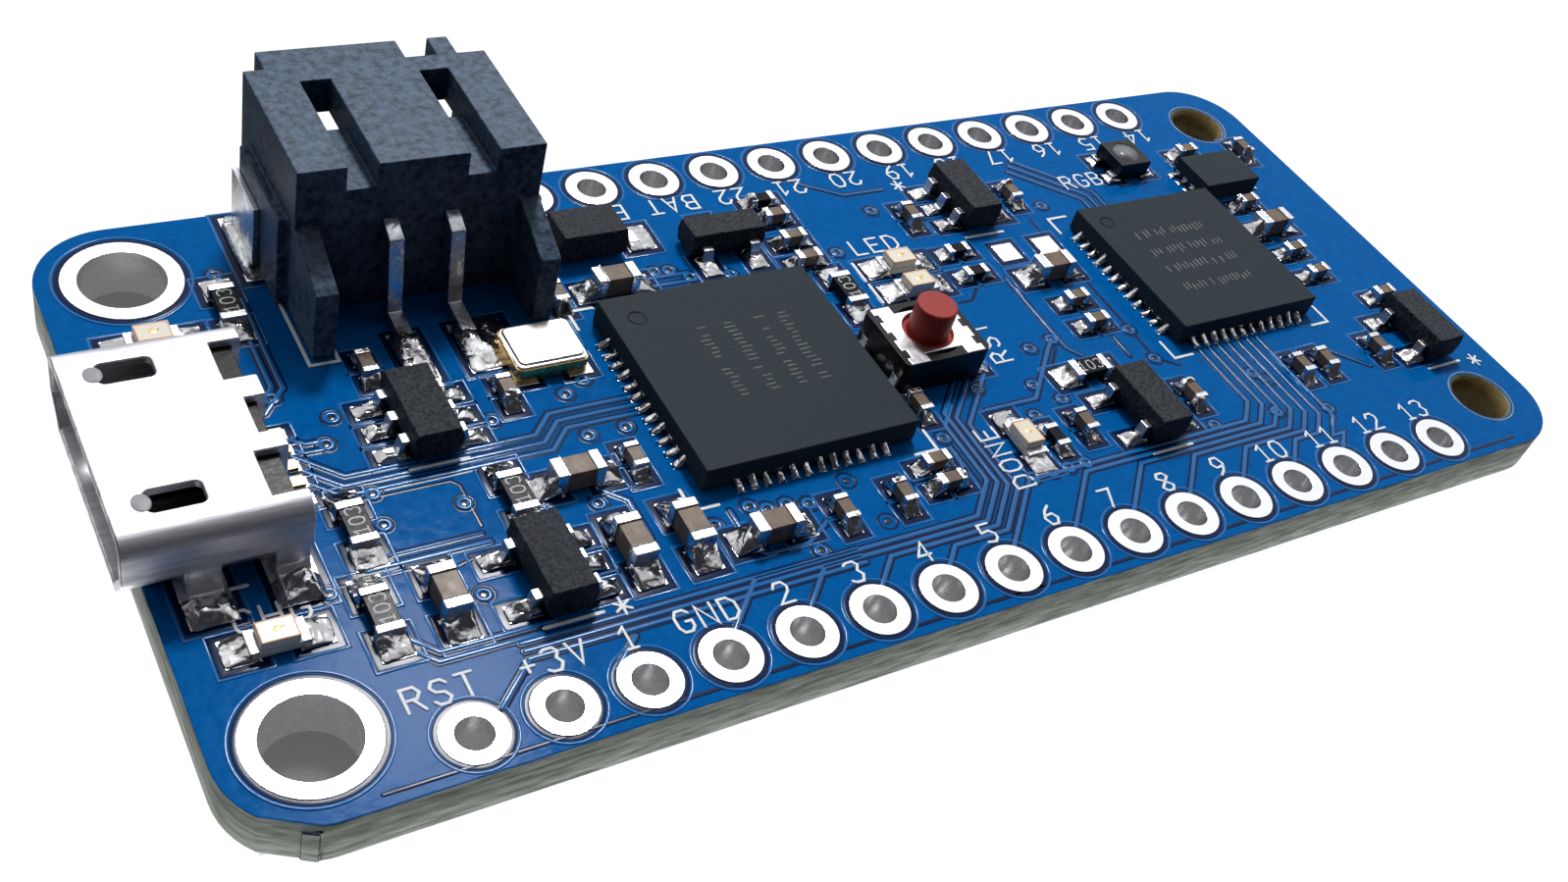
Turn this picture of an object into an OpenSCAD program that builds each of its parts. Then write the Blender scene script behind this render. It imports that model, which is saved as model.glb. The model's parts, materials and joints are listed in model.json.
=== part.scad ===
// Small microcontroller development board: a two-layer circuit board with two rows
// of header holes, a micro USB socket, a side-entry battery socket, a reset switch
// with a moving button, and its chips and passive parts.
// Origin: centre of the board's underside. +X away from the USB end, +Y towards
// the battery socket's edge, +Z up through the parts. Millimetres.

/* [Board] */
// Length of the board, along X
board_l = 50.8; // [50.8:0.1:70]
// Width of the board, along Y
board_w = 22.86; // [22.86:0.02:40]
// Thickness of the laminate
board_t = 1.6; // [0.8:0.1:3]
// Radius of the board's corners
corner_r = 2.54; // [0.5:0.1:3]
// Height of tinned copper above the laminate
land_t = 0.04; // [0.02:0.01:0.1]

/* [Header rows] */
// Distance from hole to hole
pitch = 2.54; // [2.3:0.01:2.54]
// Number of holes along the near edge
near_count = 16; // [4:1:16]
// Number of holes along the far edge
far_count = 12; // [4:1:12]
// Bore of a plated header hole
hole_d = 1.05; // [0.9:0.01:1.4]
// Outer diameter of a header hole's ring
ring_d = 1.9; // [1.7:0.05:2.2]
// Distance of a row's axis from the board's long edge
row_inset = 1.27; // [1.2:0.01:1.6]

/* [Mounting holes] */
// Distance of every mounting hole from both of the board's edges
corner_inset = 2.54; // [2.5:0.01:3]
// Bore of the plated holes at the USB end
usb_hole_d = 2.6; // [2:0.1:3]
// Outer diameter of the rings round the plated holes
usb_ring_d = 3.6; // [3.2:0.1:4]
// Bore of the plain holes at the other end
plain_hole_d = 2.4; // [2:0.1:3]

/* [USB socket] */
// Width of the metal shell, along Y
usb_w = 7.5; // [7:0.1:9]
// Length of the metal shell, along X
usb_l = 4.95; // [4.5:0.05:6]
// Height of the metal shell
usb_h = 2.55; // [2.2:0.05:3.2]
// Wall of the metal shell
usb_wall = 0.28; // [0.2:0.02:0.35]
// How far the shell's mouth stands out past the board's edge
usb_overhang = 0.65; // [0.3:0.05:1]

/* [Battery socket] */
// Width of the housing, along X
socket_w = 7.9; // [6.5:0.1:8.4]
// Height of the housing
socket_h = 5.45; // [5:0.05:6.6]
// Depth of the housing's block, along Y
socket_d = 5.2; // [4.6:0.1:6.4]
// Side walls of the housing
socket_wall = 0.9; // [0.6:0.05:1.1]
// Distance from pin to pin
socket_pitch = 2; // [1.8:0.1:2.2]

/* [Chips] */
// Side of the main chip
main_w = 7.95; // [6.6:0.05:9.6]
// Height of the main chip
main_h = 0.9; // [0.7:0.05:1.2]
// Side of the second chip
second_w = 7; // [5.8:0.05:8.4]
// Height of the second chip
second_h = 0.85; // [0.7:0.05:1.2]
// Terminals along each side of both chips
side_count = 12; // [8:1:12]
// Distance from terminal to terminal
terminal_pitch = 0.5; // [0.4:0.05:0.5]
// Length of the memory chip, along X
memory_l = 3; // [2.6:0.1:3.4]
// Width of the memory chip, along Y
memory_w = 2; // [2:0.1:2.4]

/* [Reset switch] */
// Length of the base, along X
switch_l = 3.5; // [3.3:0.1:4.2]
// Width of the base, along Y
switch_w = 2.9; // [2.8:0.1:3.4]
// Height of the base and its cover
switch_h = 1.35; // [1.2:0.05:1.8]
// Diameter of the button
button_d = 1.45; // [1.1:0.05:1.6]
// Gap all round the button in the cover's hole
button_gap = 0.2; // [0.05:0.01:0.25]
// Height of the button above the cover
button_rise = 1.15; // [0.6:0.05:1.6]
// Travel of the button
button_travel = 0.25; // [0.1:0.01:0.3]

/* [Passive parts] */
// Length of a large passive part
large_l = 1.6; // [1.5:0.05:1.7]
// Width of a large passive part
large_w = 0.8; // [0.7:0.05:0.9]
// Length of a small passive part
small_l = 1; // [0.9:0.05:1.1]
// Width of a small passive part
small_w = 0.5; // [0.45:0.05:0.6]

/* [Hidden] */
$fn = 48;

// A little more than nothing, so that cuts pass their faces
eps = 0.02;
// Wall of the barrel in a plated hole, and thickness of its flush ring below
barrel_t = 0.16;
ring_t = 0.05;
// Height on which every part's terminals stand
seat_z = board_t + land_t;

// Edges of the board
usb_edge = -board_l/2;
end_edge = board_l/2;
near_edge = -board_w/2;
far_edge = board_w/2;

// Flat at the snapped corner: its start along the near edge, and its slope
snap_x = 2.1;
snap_angle = 30;

// Places of the two header rows: both end over the same X
near_row_y = near_edge + row_inset;
far_row_y = far_edge - row_inset;
row_end_x = (near_count - 1)*pitch/2;
near_row = [for (i = [0:near_count - 1]) [row_end_x - i*pitch, near_row_y]];
far_row = [for (i = [0:far_count - 1]) [row_end_x - i*pitch, far_row_y]];
usb_holes = [for (s = [-1, 1]) [usb_edge + corner_inset, s*(board_w/2 - corner_inset)]];
plain_holes = [for (s = [-1, 1]) [end_edge - corner_inset, s*(board_w/2 - corner_inset)]];

// USB socket: mouth, rear, and the places of its four legs
usb_mouth = usb_edge - usb_overhang;
usb_rear = usb_mouth + usb_l;
usb_leg_l = 0.95;
usb_leg_reach = 0.75;
usb_legs = [usb_mouth + 2.05, usb_rear - usb_leg_l/2 - 0.1];
usb_contact_pitch = 0.65;
usb_contact_w = 0.38;
usb_contact_t = 0.12;
usb_tail = 0.75;
usb_tail_room = 4*usb_contact_pitch + 1.6;

// Battery socket: centre along X, front and back of its block
socket_x = usb_edge + 10.8;
socket_right = socket_x + socket_w/2;
socket_front = far_edge - 0.08;
socket_back = socket_front - socket_d;
socket_lip = 0.95;
socket_wing_w = 0.7;
socket_wing = 2.1;
socket_pin_w = 0.5;
socket_pin_z = 3.1;

// Main chip, and its edges
main_at = [usb_edge + 20, -0.4];
main_left = main_at.x - main_w/2;
main_right = main_at.x + main_w/2;
main_near = main_at.y - main_w/2;
main_far = main_at.y + main_w/2;

// Second chip, and its edges
second_at = [end_edge - 10.25, 0.5];
second_left = second_at.x - second_w/2;
second_right = second_at.x + second_w/2;
second_near = second_at.y - second_w/2;
second_far = second_at.y + second_w/2;

// Reset switch
switch_at = [main_right + 0.65 + switch_l/2, -0.95];
switch_right = switch_at.x + switch_l/2;
cover_t = 0.15;
cover_in = 0.2;
flange_d = button_d + 0.65;
flange_t = 0.28;
flange_z = board_t + switch_h - cover_t - 0.02 - flange_t;
well_d = flange_d + 0.3;
well_z = seat_z + 0.3;
dome_t = 0.05;

// Chips in small outline packages: [place, leads on the left, leads on the right]
outline_l = 2.9;
outline_w = 1.6;
outline_h = 1.1;
outline_reach = 1.42;
three = [-0.95, 0, 0.95];
two = [-0.95, 0.95];
one = [0];
charger_at = [usb_edge + 10.3, -5.95];
guard_at = [usb_edge + 8.95, 0.6];
near_regulator_at = [second_left - 3.9, second_near - 2.65];
far_regulator_at = [second_left - 3.95, second_far + 2.2];
supervisor_at = [end_edge - 2.75, -5.3];
power_switch_at = [main_at.x + 2.25, main_far + 2.65];
power_switch_w = 1.3;
diode_at = [main_at.x - 2.65, main_far + 3.6];
diode_l = 2.6;
diode_w = 1.5;
diode_h = 1.15;
memory_at = [second_right + 0.4 + memory_l/2, second_far + 1.15];
memory_h = 0.75;
crystal_at = [main_left - 2.35, 2.45];
crystal_l = 2.5;
crystal_w = 2;
colour_led_at = [second_at.x + 1.5, second_far + 2.95];
colour_led_w = 1.6;
colour_led_h = 0.75;

// Large passive parts: [x, y, lies along Y]
large_capacitors = [
  [usb_edge + 7.25, -5.95, true], [charger_at.x + 2.65, -5.85, true],
  [charger_at.x + 4.55, -5.85, true], [main_left - 3.55, -2.85, false],
  [main_at.x - 2.7, main_near - 2.2, false], [main_at.x - 2.6, main_far + 1.3, false],
  [second_left - 2.75, 1.7, false], [second_right + 2.15, 1.8, false]
];
large_resistors = [
  [usb_rear + 1.5, -2.8, true], [usb_edge + 5.4, -5.9, true],
  [socket_x - socket_w/2 - 1.75, 6.8, true], [main_left - 5.5, -3, true],
  [main_right + 1.6, 2.6, true], [second_left - 4.75, -3.35, false]
];
// Small passive parts: [x, y, lies along Y]
small_capacitors = [
  [main_left - 1.5, -2.7, true], [main_at.x - 0.1, main_near - 2.2, true],
  [main_at.x + 2.15, main_near - 2.15, true], [main_right, main_near - 1.25, false],
  [main_right, main_near - 2.15, false], [switch_at.x - 1.4, -3.15, true],
  [socket_x - 2.6, 3.2, true], [crystal_at.x - 1.75, 1.1, true],
  [socket_right + 0.525, main_far + 1.25, true], [main_right + 1, main_far + 0.95, false],
  [main_right + 1, main_far + 2.1, false], [main_right + 1, main_far + 3.4, false],
  [far_regulator_at.x - 2.65, 5.9, true], [near_regulator_at.x - 2.75, -5.6, true],
  [second_left - 1.5, second_far + 2.2, true], [second_left - 1.45, second_near - 2.5, true],
  [second_left - 2.8, 0.05, false], [second_left - 2.8, -1.25, false],
  [second_at.x + 0.65, second_near - 2.55, true], [second_at.x + 1.95, second_near - 2.55, true],
  [second_at.x + 4.95, second_near - 2.55, true], [supervisor_at.x + 0.2, -3.05, false],
  [memory_at.x - 0.2, memory_at.y + 1.85, false], [end_edge - 1.9, 6.65, true],
  [memory_at.x + 0.3, memory_at.y - 1.75, false], [second_right + 2.1, 0.25, false],
  [second_right + 2.1, -1.2, false]
];
small_resistors = [
  [switch_right + 0.85, -5.85, true], [second_left - 5.9, 3.65, false],
  [second_left - 5.9, 2.35, false], [main_right + 1, main_far + 4.45, false]
];
// Lights: [x, y, lies along Y]
lights = [
  [usb_edge + 2.65, -5.8, false], [usb_edge + 2.65, 5.85, false],
  [switch_right - 0.35, -5.6, true], [switch_at.x + 2, 3.55, false],
  [switch_at.x + 2, 2.25, false]
];
// A pair of lands with no part on it
spare_at = [second_left - 2.7, 3.25, false];

large_capacitor_h = 0.8;
small_capacitor_h = 0.5;
large_resistor_h = 0.45;
small_resistor_h = 0.35;
light_h = 0.55;
large_cap_l = 0.35;
small_cap_l = 0.22;
// Thickness of a passive part's metal end caps
cap_t = 0.03;
// How far a land runs out past the end of its part, and past its sides
large_land = [0.95, 0.95];
small_land = [0.62, 0.6];

// ---------------------------------------------------------------- shared shapes

// Block centred on X and Y that stands on z = 0
module block(size) {
  translate([-size.x/2, -size.y/2, 0]) cube(size);
}

// Flat outline with round corners, made of true arcs
module round_rect(l, w, r) {
  square([l - 2*r, w], center = true);
  square([l, w - 2*r], center = true);
  for (x = [-1, 1], y = [-1, 1])
    translate([x*(l/2 - r), y*(w/2 - r)]) circle(r);
}

// Puts its children at each place in a list, turned where the part lies along Y
module at_places(places, z) {
  for (p = places)
    translate([p.x, p.y, z]) rotate(p.z ? 90 : 0) children();
}

// Plated hole: a barrel with a flush ring below and a ring that stands proud above
module eyelet(bore, ring) {
  difference() {
    union() {
      cylinder(d = bore + 2*barrel_t, h = board_t + land_t);
      cylinder(d = ring, h = ring_t);
      translate([0, 0, board_t]) cylinder(d = ring, h = land_t);
    }
    translate([0, 0, -eps]) cylinder(d = bore, h = board_t + land_t + 2*eps);
  }
}

// What an eyelet takes out of the laminate
module eyelet_hole(bore, ring) {
  translate([0, 0, -eps]) cylinder(d = bore + 2*barrel_t, h = board_t + 2*eps);
  translate([0, 0, -eps]) cylinder(d = ring, h = ring_t + eps);
}

// Ceramic body of a passive part, which shows between its end caps
module passive_body(l, w, h) {
  translate([0, 0, cap_t]) block([l - 2*cap_t, w - 2*cap_t, h - 2*cap_t]);
}

// The two metal caps of a passive part
module passive_caps(l, w, h, cap) {
  for (s = [-1, 1])
    difference() {
      translate([s*(l - cap)/2, 0, 0]) block([cap, w, h]);
      passive_body(l, w, h);
    }
}

// The two lands under a passive part
module land_pair(l, land) {
  for (s = [-1, 1])
    translate([s*(l/2 - 0.3 + land.x/2), 0, 0]) block([land.x, land.y, land_t]);
}

// Bodies of small outline packages: sides drafted above and below the lead frame
module outline_body(l, w, h) {
  draft = 0.12;
  foot = 0.1;
  rotate([90, 0, 0])
    translate([0, 0, -l/2])
      linear_extrude(l)
        polygon([[-w/2 + draft, foot], [w/2 - draft, foot], [w/2, h*0.52],
                 [w/2 - draft, h], [-w/2 + draft, h], [-w/2, h*0.52]]);
}

// One bent lead that leaves a body's side at x = half and lies flat out to x = reach
module gull_lead(half, reach, mid, width) {
  t = 0.14;
  knee = half + 0.22;
  rotate([90, 0, 0])
    translate([0, 0, -width/2])
      linear_extrude(width)
        polygon([[half - 0.15, mid - t/2], [knee - t, mid - t/2], [knee, 0],
                 [reach, 0], [reach, t], [knee + t*0.8, t], [knee, mid + t/2],
                 [half - 0.15, mid + t/2]]);
}

// Leads on both sides of a package whose long side lies along Y
module outline_leads(left, right, half, reach, mid, width) {
  for (y = right) translate([0, y, 0]) gull_lead(half, reach, mid, width);
  for (y = left) translate([0, y, 0]) rotate(180) gull_lead(half, reach, mid, width);
}

// Lands under those leads
module outline_lands(left, right, reach, size) {
  for (y = right) translate([reach - 0.2, y, 0]) block([size.x, size.y, land_t]);
  for (y = left) translate([0.2 - reach, y, 0]) block([size.x, size.y, land_t]);
}

// Repeats its children at each terminal of a square chip, with +X pointing outwards
module chip_terminals(width) {
  for (side = [0:3], i = [0:side_count - 1])
    rotate(90*side)
      translate([width/2, (i - (side_count - 1)/2)*terminal_pitch, 0]) children();
}

terminal = [0.42, 0.26, 0.2];
die_pad = 0.6;

// Metal terminals and centre pad under a square chip
module square_chip_metal(width) {
  chip_terminals(width) translate([-terminal.x/2, 0, 0]) block(terminal);
  block([width*die_pad, width*die_pad, terminal.z]);
}

// Moulded body of a square chip, with pockets for its metal
module square_chip_body(width, height) {
  difference() {
    block([width, width, height]);
    translate([0, 0, -eps]) {
      chip_terminals(width)
        translate([-terminal.x/2 + eps/2, 0, 0]) block([terminal.x + eps, terminal.y, terminal.z + eps]);
      block([width*die_pad, width*die_pad, terminal.z + eps]);
    }
    translate([-width*0.38, width*0.36, height - 0.03]) cylinder(d = 0.6, h = 0.05);
  }
}

// Lands under a square chip
module square_chip_lands(width) {
  chip_terminals(width) block([0.8, 0.28, land_t]);
  block([width*die_pad, width*die_pad, land_t]);
}

// ---------------------------------------------------------------- circuit board

// Board outline with a flat by the near USB corner, where it was snapped off its panel
module snapped_outline() {
  difference() {
    round_rect(board_l, board_w, corner_r);
    translate([usb_edge + snap_x, near_edge]) rotate(-snap_angle) translate([-2, -1]) square([3, 1]);
  }
}

module board_laminate() {
  color("royalblue") difference() {
    union() {
      linear_extrude(board_t) snapped_outline();
      // stub of the tab that held the board in its panel
      translate([usb_edge + snap_x, near_edge, 0]) rotate(-snap_angle) translate([-0.6, -0.06, 0])
        cube([0.45, 0.2, board_t - 0.35]);
    }
    for (p = concat(near_row, far_row)) translate(p) eyelet_hole(hole_d, ring_d);
    for (p = usb_holes) translate(p) eyelet_hole(usb_hole_d, usb_ring_d);
    for (p = plain_holes) translate([p.x, p.y, -eps]) cylinder(d = plain_hole_d, h = board_t + 2*eps);
  }
}

module near_header_eyelets() {
  color("silver") for (p = near_row) translate(p) eyelet(hole_d, ring_d);
}

module far_header_eyelets() {
  color("silver") for (p = far_row) translate(p) eyelet(hole_d, ring_d);
}

module mounting_eyelets() {
  color("silver") for (p = usb_holes) translate(p) eyelet(usb_hole_d, usb_ring_d);
}

module component_lands() {
  color("silver") translate([0, 0, board_t]) {
    at_places(concat(large_capacitors, large_resistors, lights, [spare_at]), 0)
      land_pair(large_l, large_land);
    at_places(concat(small_capacitors, small_resistors), 0) land_pair(small_l, small_land);
    translate(main_at) square_chip_lands(main_w);
    translate(second_at) square_chip_lands(second_w);
    translate(charger_at) outline_lands(two, three, outline_reach, [1, 0.6]);
    translate(guard_at) outline_lands(three, three, outline_reach, [1, 0.6]);
    translate(near_regulator_at) outline_lands(two, three, outline_reach, [1, 0.6]);
    translate(far_regulator_at) outline_lands(three, three, outline_reach, [1, 0.6]);
    translate(supervisor_at) outline_lands(two, one, outline_reach, [1, 0.7]);
    translate(power_switch_at) rotate(90) outline_lands(two, one, power_switch_reach, [1, 0.7]);
    translate(diode_at) for (s = [-1, 1]) translate([s*2.05, 0, 0]) block([1.1, 1.3, land_t]);
    translate(memory_at) memory_places() translate([0.1, 0, 0]) block([0.6, 0.3, land_t]);
    translate(crystal_at) crystal_places() block([0.85, 0.75, land_t]);
    translate(colour_led_at) colour_led_places() block([0.75, 0.6, land_t]);
    translate(switch_at) switch_leg_places() translate([0.12, 0, 0]) block([0.75, 0.7, land_t]);
    usb_lands();
    socket_lands();
  }
}

// ---------------------------------------------------------------- USB socket

// Outline of the shell across its mouth: round above, with its lower corners cut away
module usb_outline(w, h, r, taper) {
  translate([-w/2 + r, h - 2*r]) square([w - 2*r, 2*r]);
  translate([-w/2, h*0.42]) square([w, h*0.58 - r]);
  for (s = [-1, 1]) translate([s*(w/2 - r), h - r]) circle(r);
  polygon([[-w/2 + taper, 0], [w/2 - taper, 0], [w/2, h*0.42], [w/2, h*0.5],
           [-w/2, h*0.5], [-w/2, h*0.42]]);
}

// Lays a shape drawn across the mouth (X to +Y, Y to +Z) along X
module across_mouth(x, length) {
  translate([x, 0, seat_z]) rotate([90, 0, 90]) linear_extrude(length) children();
}

module usb_hollow(x, length) {
  across_mouth(x, length)
    translate([0, usb_wall])
      usb_outline(usb_w - 2*usb_wall, usb_h - 2*usb_wall, 0.32, 0.62);
}

// Contact strips: flat along the tongue, then down behind the shell to their tails
module usb_contact_strips() {
  top = usb_tongue_z;
  foot = usb_contact_t;
  step = usb_rear - 0.5;
  for (i = [-2:2])
    translate([0, i*usb_contact_pitch + usb_contact_w/2, 0])
      rotate([90, 0, 0]) linear_extrude(usb_contact_w)
        polygon([[usb_mouth + 1, top], [usb_mouth + 1, top - usb_contact_t],
                 [step - usb_contact_t, top - usb_contact_t], [step - usb_contact_t, seat_z],
                 [usb_rear + usb_tail, seat_z], [usb_rear + usb_tail, seat_z + foot],
                 [step, seat_z + foot], [step, top]]);
}

// Underside of the tongue
usb_tongue_z = seat_z + usb_h*0.5;
// Openings in the back of the shell's roof: [middle Y, width, length]
usb_back_cuts = [[2.15, 1.5, 1.05], [-0.1, 1.35, 0.75], [-2.25, 1.6, 1.1]];

module usb_shell() {
  color("lightgray") {
    difference() {
      union() {
        across_mouth(usb_mouth, usb_l) usb_outline(usb_w, usb_h, 0.6, 0.75);
        for (s = [-1, 1], x = usb_legs) translate([x, 0, seat_z]) usb_leg(s);
      }
      usb_hollow(usb_mouth - eps, usb_l - usb_wall + eps);
      // latch windows in the roof
      for (s = [-1, 1])
        translate([usb_mouth + 1.7, s*usb_w*0.32, seat_z + usb_h - usb_wall - eps])
          linear_extrude(usb_wall + 2*eps) round_rect(1.5, 0.78, 0.2);
      // cut-outs along the back of the roof
      for (c = usb_back_cuts)
        translate([usb_rear - c[2] + 0.15, c[0] - c[1]/2, seat_z + usb_h*0.5])
          cube([c[2] - usb_wall*0.4, c[1], usb_h]);
      // way out for the contacts' tails
      translate([usb_rear - 0.75, -usb_tail_room/2, seat_z - eps])
        cube([0.75 + eps, usb_tail_room, usb_h*0.45]);
      // relief in each lower side between the legs
      for (s = [-1, 1])
        translate([(usb_legs[0] + usb_legs[1])/2, s*usb_w/2, seat_z - eps])
          block([1.1, 1.1, 0.85]);
    }
  }
}

// One solder leg: down the shell's side and out along the board
module usb_leg(side) {
  half = usb_w/2;
  rotate([90, 0, 90])
    translate([0, 0, -usb_leg_l/2])
      linear_extrude(usb_leg_l)
        polygon([[side*(half - 0.95), 0], [side*(half + usb_leg_reach), 0],
                 [side*(half + usb_leg_reach), 0.24], [side*(half + 0.16), 0.24],
                 [side*half, 0.45], [side*half, 1.2], [side*(half - 0.22), 1.2]]);
}

module usb_tongue() {
  color("#202226") difference() {
    union() {
      // block that closes the back of the shell
      intersection() {
        usb_hollow(usb_mouth, usb_l - usb_wall);
        translate([usb_rear - usb_wall - 1.2, -usb_w, seat_z]) cube([1.2, 2*usb_w, usb_h]);
      }
      translate([usb_mouth + 0.9, -1.85, usb_tongue_z]) cube([usb_l - 1.9, 3.7, 0.6]);
    }
    usb_contact_strips();
  }
}

module usb_contacts() {
  color("gold") usb_contact_strips();
}

module usb_lands() {
  for (i = [-2:2])
    translate([usb_rear + 0.3, i*usb_contact_pitch, 0]) block([1.1, 0.42, land_t]);
  for (s = [-1, 1], x = usb_legs)
    translate([x, s*(usb_w/2 + 0.1), 0]) block([1.3, 1.9, land_t]);
}

// ---------------------------------------------------------------- battery socket

socket_boss = 0.3;
socket_sole = 0.45;
socket_floor = 0.9;
socket_roof_z = 4.2;
socket_groove_z = 4.6;
groove_w = 0.95;
groove_x = [-1.95, 1.9];

module battery_socket_housing() {
  color("#23242c") translate([socket_x, 0, seat_z]) difference() {
    union() {
      translate([-socket_w/2, socket_back, 0]) cube([socket_w, socket_d, socket_h]);
      // broad lip and narrow tab over the mouth
      translate([-socket_w/2 + 0.65, socket_front, socket_h - 0.75]) cube([4.55, socket_lip, 0.75]);
      translate([socket_w/2 - 1.65, socket_front, socket_h - 0.75]) cube([0.7, socket_lip, 0.75]);
      // wider foot that the side tabs sit in
      translate([-socket_w/2 - socket_boss, socket_back + 0.6, 0])
        cube([socket_w + 2*socket_boss, socket_d - 1.4, 3.3]);
      // wings that run back to guard the pins
      for (s = [-1, 1])
        translate([s*(socket_w - socket_wing_w)/2 + socket_wing_w/2, 0, 0])
          rotate([90, 0, -90]) linear_extrude(socket_wing_w)
            polygon([[-socket_back - 0.1, 0], [-socket_back + socket_wing, 0],
                     [-socket_back + socket_wing, 2.5], [-socket_back + socket_wing - 0.3, 2.65],
                     [-socket_back - 0.1, 3.5]]);
    }
    // cavity that takes the plug
    translate([-socket_w/2 + socket_wall, socket_back + 0.9, socket_floor])
      cube([socket_w - 2*socket_wall, socket_d, socket_roof_z - socket_floor]);
    for (x = groove_x) {
      // groove along the roof, and the latch window at its front
      translate([x - groove_w/2, socket_back - eps, socket_groove_z])
        cube([groove_w, 4.4, socket_h]);
      translate([x - groove_w/2, socket_back + 3, socket_roof_z - eps])
        cube([groove_w, 1.4, socket_h]);
    }
    battery_socket_pin_pair(0);
    for (s = [-1, 1]) battery_tab(s);
  }
}

// The two pins: through the back wall, down behind it and out along the board
module battery_socket_pin_pair(z) {
  t = socket_pin_w;
  y_tip = socket_front - 1.1;
  y_knee = socket_back - 0.2;
  for (s = [-1, 1])
    translate([s*socket_pitch/2 + t/2, 0, z])
      rotate([90, 0, -90]) linear_extrude(t)
        polygon([[-y_tip, socket_pin_z - t/2], [-y_tip, socket_pin_z + t/2],
                 [-y_knee - 0.1, socket_pin_z + t/2], [-y_knee + t, socket_pin_z - 0.1],
                 [-y_knee + t + 0.35, 0.42], [-y_knee + 2.5, 0.3], [-y_knee + 2.5, 0],
                 [-y_knee + 0.6, 0], [-y_knee + 0.35, 0.15],
                 [-y_knee, socket_pin_z - t/2 - 0.15], [-y_knee - 0.1, socket_pin_z - t/2]]);
}

module battery_socket_pins() {
  color("silver") translate([socket_x, 0, 0]) battery_socket_pin_pair(seat_z);
}

// Side tab: a plate in the foot's side with a sole that is soldered down
module battery_tab(side) {
  x = side*(socket_w/2 + socket_boss);
  translate([x, socket_front - 2.9, 0]) {
    translate([side*0.1 - 0.1, 0, 0]) cube([0.2, 2.2, 2.4]);
    translate([side*socket_sole/2 - socket_sole/2, 0, 0]) cube([socket_sole, 2.2, 0.22]);
  }
}

module battery_socket_tabs() {
  color("silver") translate([socket_x, 0, seat_z]) for (s = [-1, 1]) battery_tab(s);
}

module socket_lands() {
  for (s = [-1, 1]) {
    translate([socket_x + s*socket_pitch/2, socket_back - 2.75, 0]) block([1, 2.3, land_t]);
    translate([socket_x + s*(socket_w/2 + socket_boss), socket_front - 1.8, 0])
      block([2*socket_sole + 0.1, 3.2, land_t]);
  }
}

// ---------------------------------------------------------------- chips

module main_chip_body() {
  color("#3a3e42") translate([main_at.x, main_at.y, seat_z]) square_chip_body(main_w, main_h);
}

module main_chip_terminals() {
  color("silver") translate([main_at.x, main_at.y, seat_z]) square_chip_metal(main_w);
}

module second_chip_body() {
  color("#3a3e42") translate([second_at.x, second_at.y, seat_z])
    square_chip_body(second_w, second_h);
}

module second_chip_terminals() {
  color("silver") translate([second_at.x, second_at.y, seat_z]) square_chip_metal(second_w);
}

// Four terminals on each short side of the memory chip, with +X pointing outwards
module memory_places() {
  for (s = [0, 180], i = [0:3])
    rotate(s) translate([memory_l/2, (i - 1.5)*0.5, 0]) children();
}

module memory_chip_body() {
  color("#3a3e42") translate([memory_at.x, memory_at.y, seat_z]) difference() {
    block([memory_l, memory_w, memory_h]);
    memory_places() translate([-0.2 + eps, 0, -eps]) block([0.4 + 2*eps, 0.26, 0.2 + eps]);
  }
}

module memory_chip_terminals() {
  color("silver") translate([memory_at.x, memory_at.y, seat_z])
    memory_places() translate([-0.18, 0, 0]) block([0.36, 0.26, 0.2]);
}

module crystal_places() {
  for (x = [-1, 1], y = [-1, 1])
    translate([x*(crystal_l/2 - 0.3), y*(crystal_w/2 - 0.25), 0]) children();
}

module crystal_base() {
  color("goldenrod") translate([crystal_at.x, crystal_at.y, seat_z])
    linear_extrude(0.5) round_rect(crystal_l, crystal_w, 0.25);
}

module crystal_lid() {
  color("lightgray") translate([crystal_at.x, crystal_at.y, seat_z + 0.5]) {
    linear_extrude(0.08) round_rect(crystal_l - 0.1, crystal_w - 0.1, 0.22);
    linear_extrude(0.16) round_rect(crystal_l - 0.3, crystal_w - 0.3, 0.2);
  }
}

// A small outline package at a place, with what its leads take out of its body
module outline_package_body(at, left, right) {
  color("#34373b") translate([at.x, at.y, seat_z]) difference() {
    outline_body(outline_l, outline_w, outline_h);
    outline_leads(left, right, outline_w/2, outline_reach, outline_h*0.52, 0.4);
  }
}

module outline_package_leads(at, left, right) {
  color("silver") translate([at.x, at.y, seat_z])
    outline_leads(left, right, outline_w/2, outline_reach, outline_h*0.52, 0.4);
}

module charger_chip_body() { outline_package_body(charger_at, two, three); }
module charger_chip_leads() { outline_package_leads(charger_at, two, three); }
module usb_guard_body() { outline_package_body(guard_at, three, three); }
module usb_guard_leads() { outline_package_leads(guard_at, three, three); }
module near_regulator_body() { outline_package_body(near_regulator_at, two, three); }
module near_regulator_leads() { outline_package_leads(near_regulator_at, two, three); }
module far_regulator_body() { outline_package_body(far_regulator_at, three, three); }
module far_regulator_leads() { outline_package_leads(far_regulator_at, three, three); }
module supervisor_body() { outline_package_body(supervisor_at, two, one); }
module supervisor_leads() { outline_package_leads(supervisor_at, two, one); }

// Power transistor: the same form, narrower and lying along X
power_switch_reach = 1.25;

module power_switch_metal() {
  rotate(90) outline_leads(two, one, power_switch_w/2, power_switch_reach, 0.5, 0.4);
}

module power_switch_body() {
  color("#34373b") translate([power_switch_at.x, power_switch_at.y, seat_z]) difference() {
    rotate(90) outline_body(outline_l, power_switch_w, 1);
    power_switch_metal();
  }
}

module power_switch_leads() {
  color("silver") translate([power_switch_at.x, power_switch_at.y, seat_z]) power_switch_metal();
}

module diode_metal() {
  for (turn = [0, 180])
    rotate(turn) gull_lead(diode_l/2, diode_l/2 + 0.75, 0.45, 0.6);
}

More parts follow.
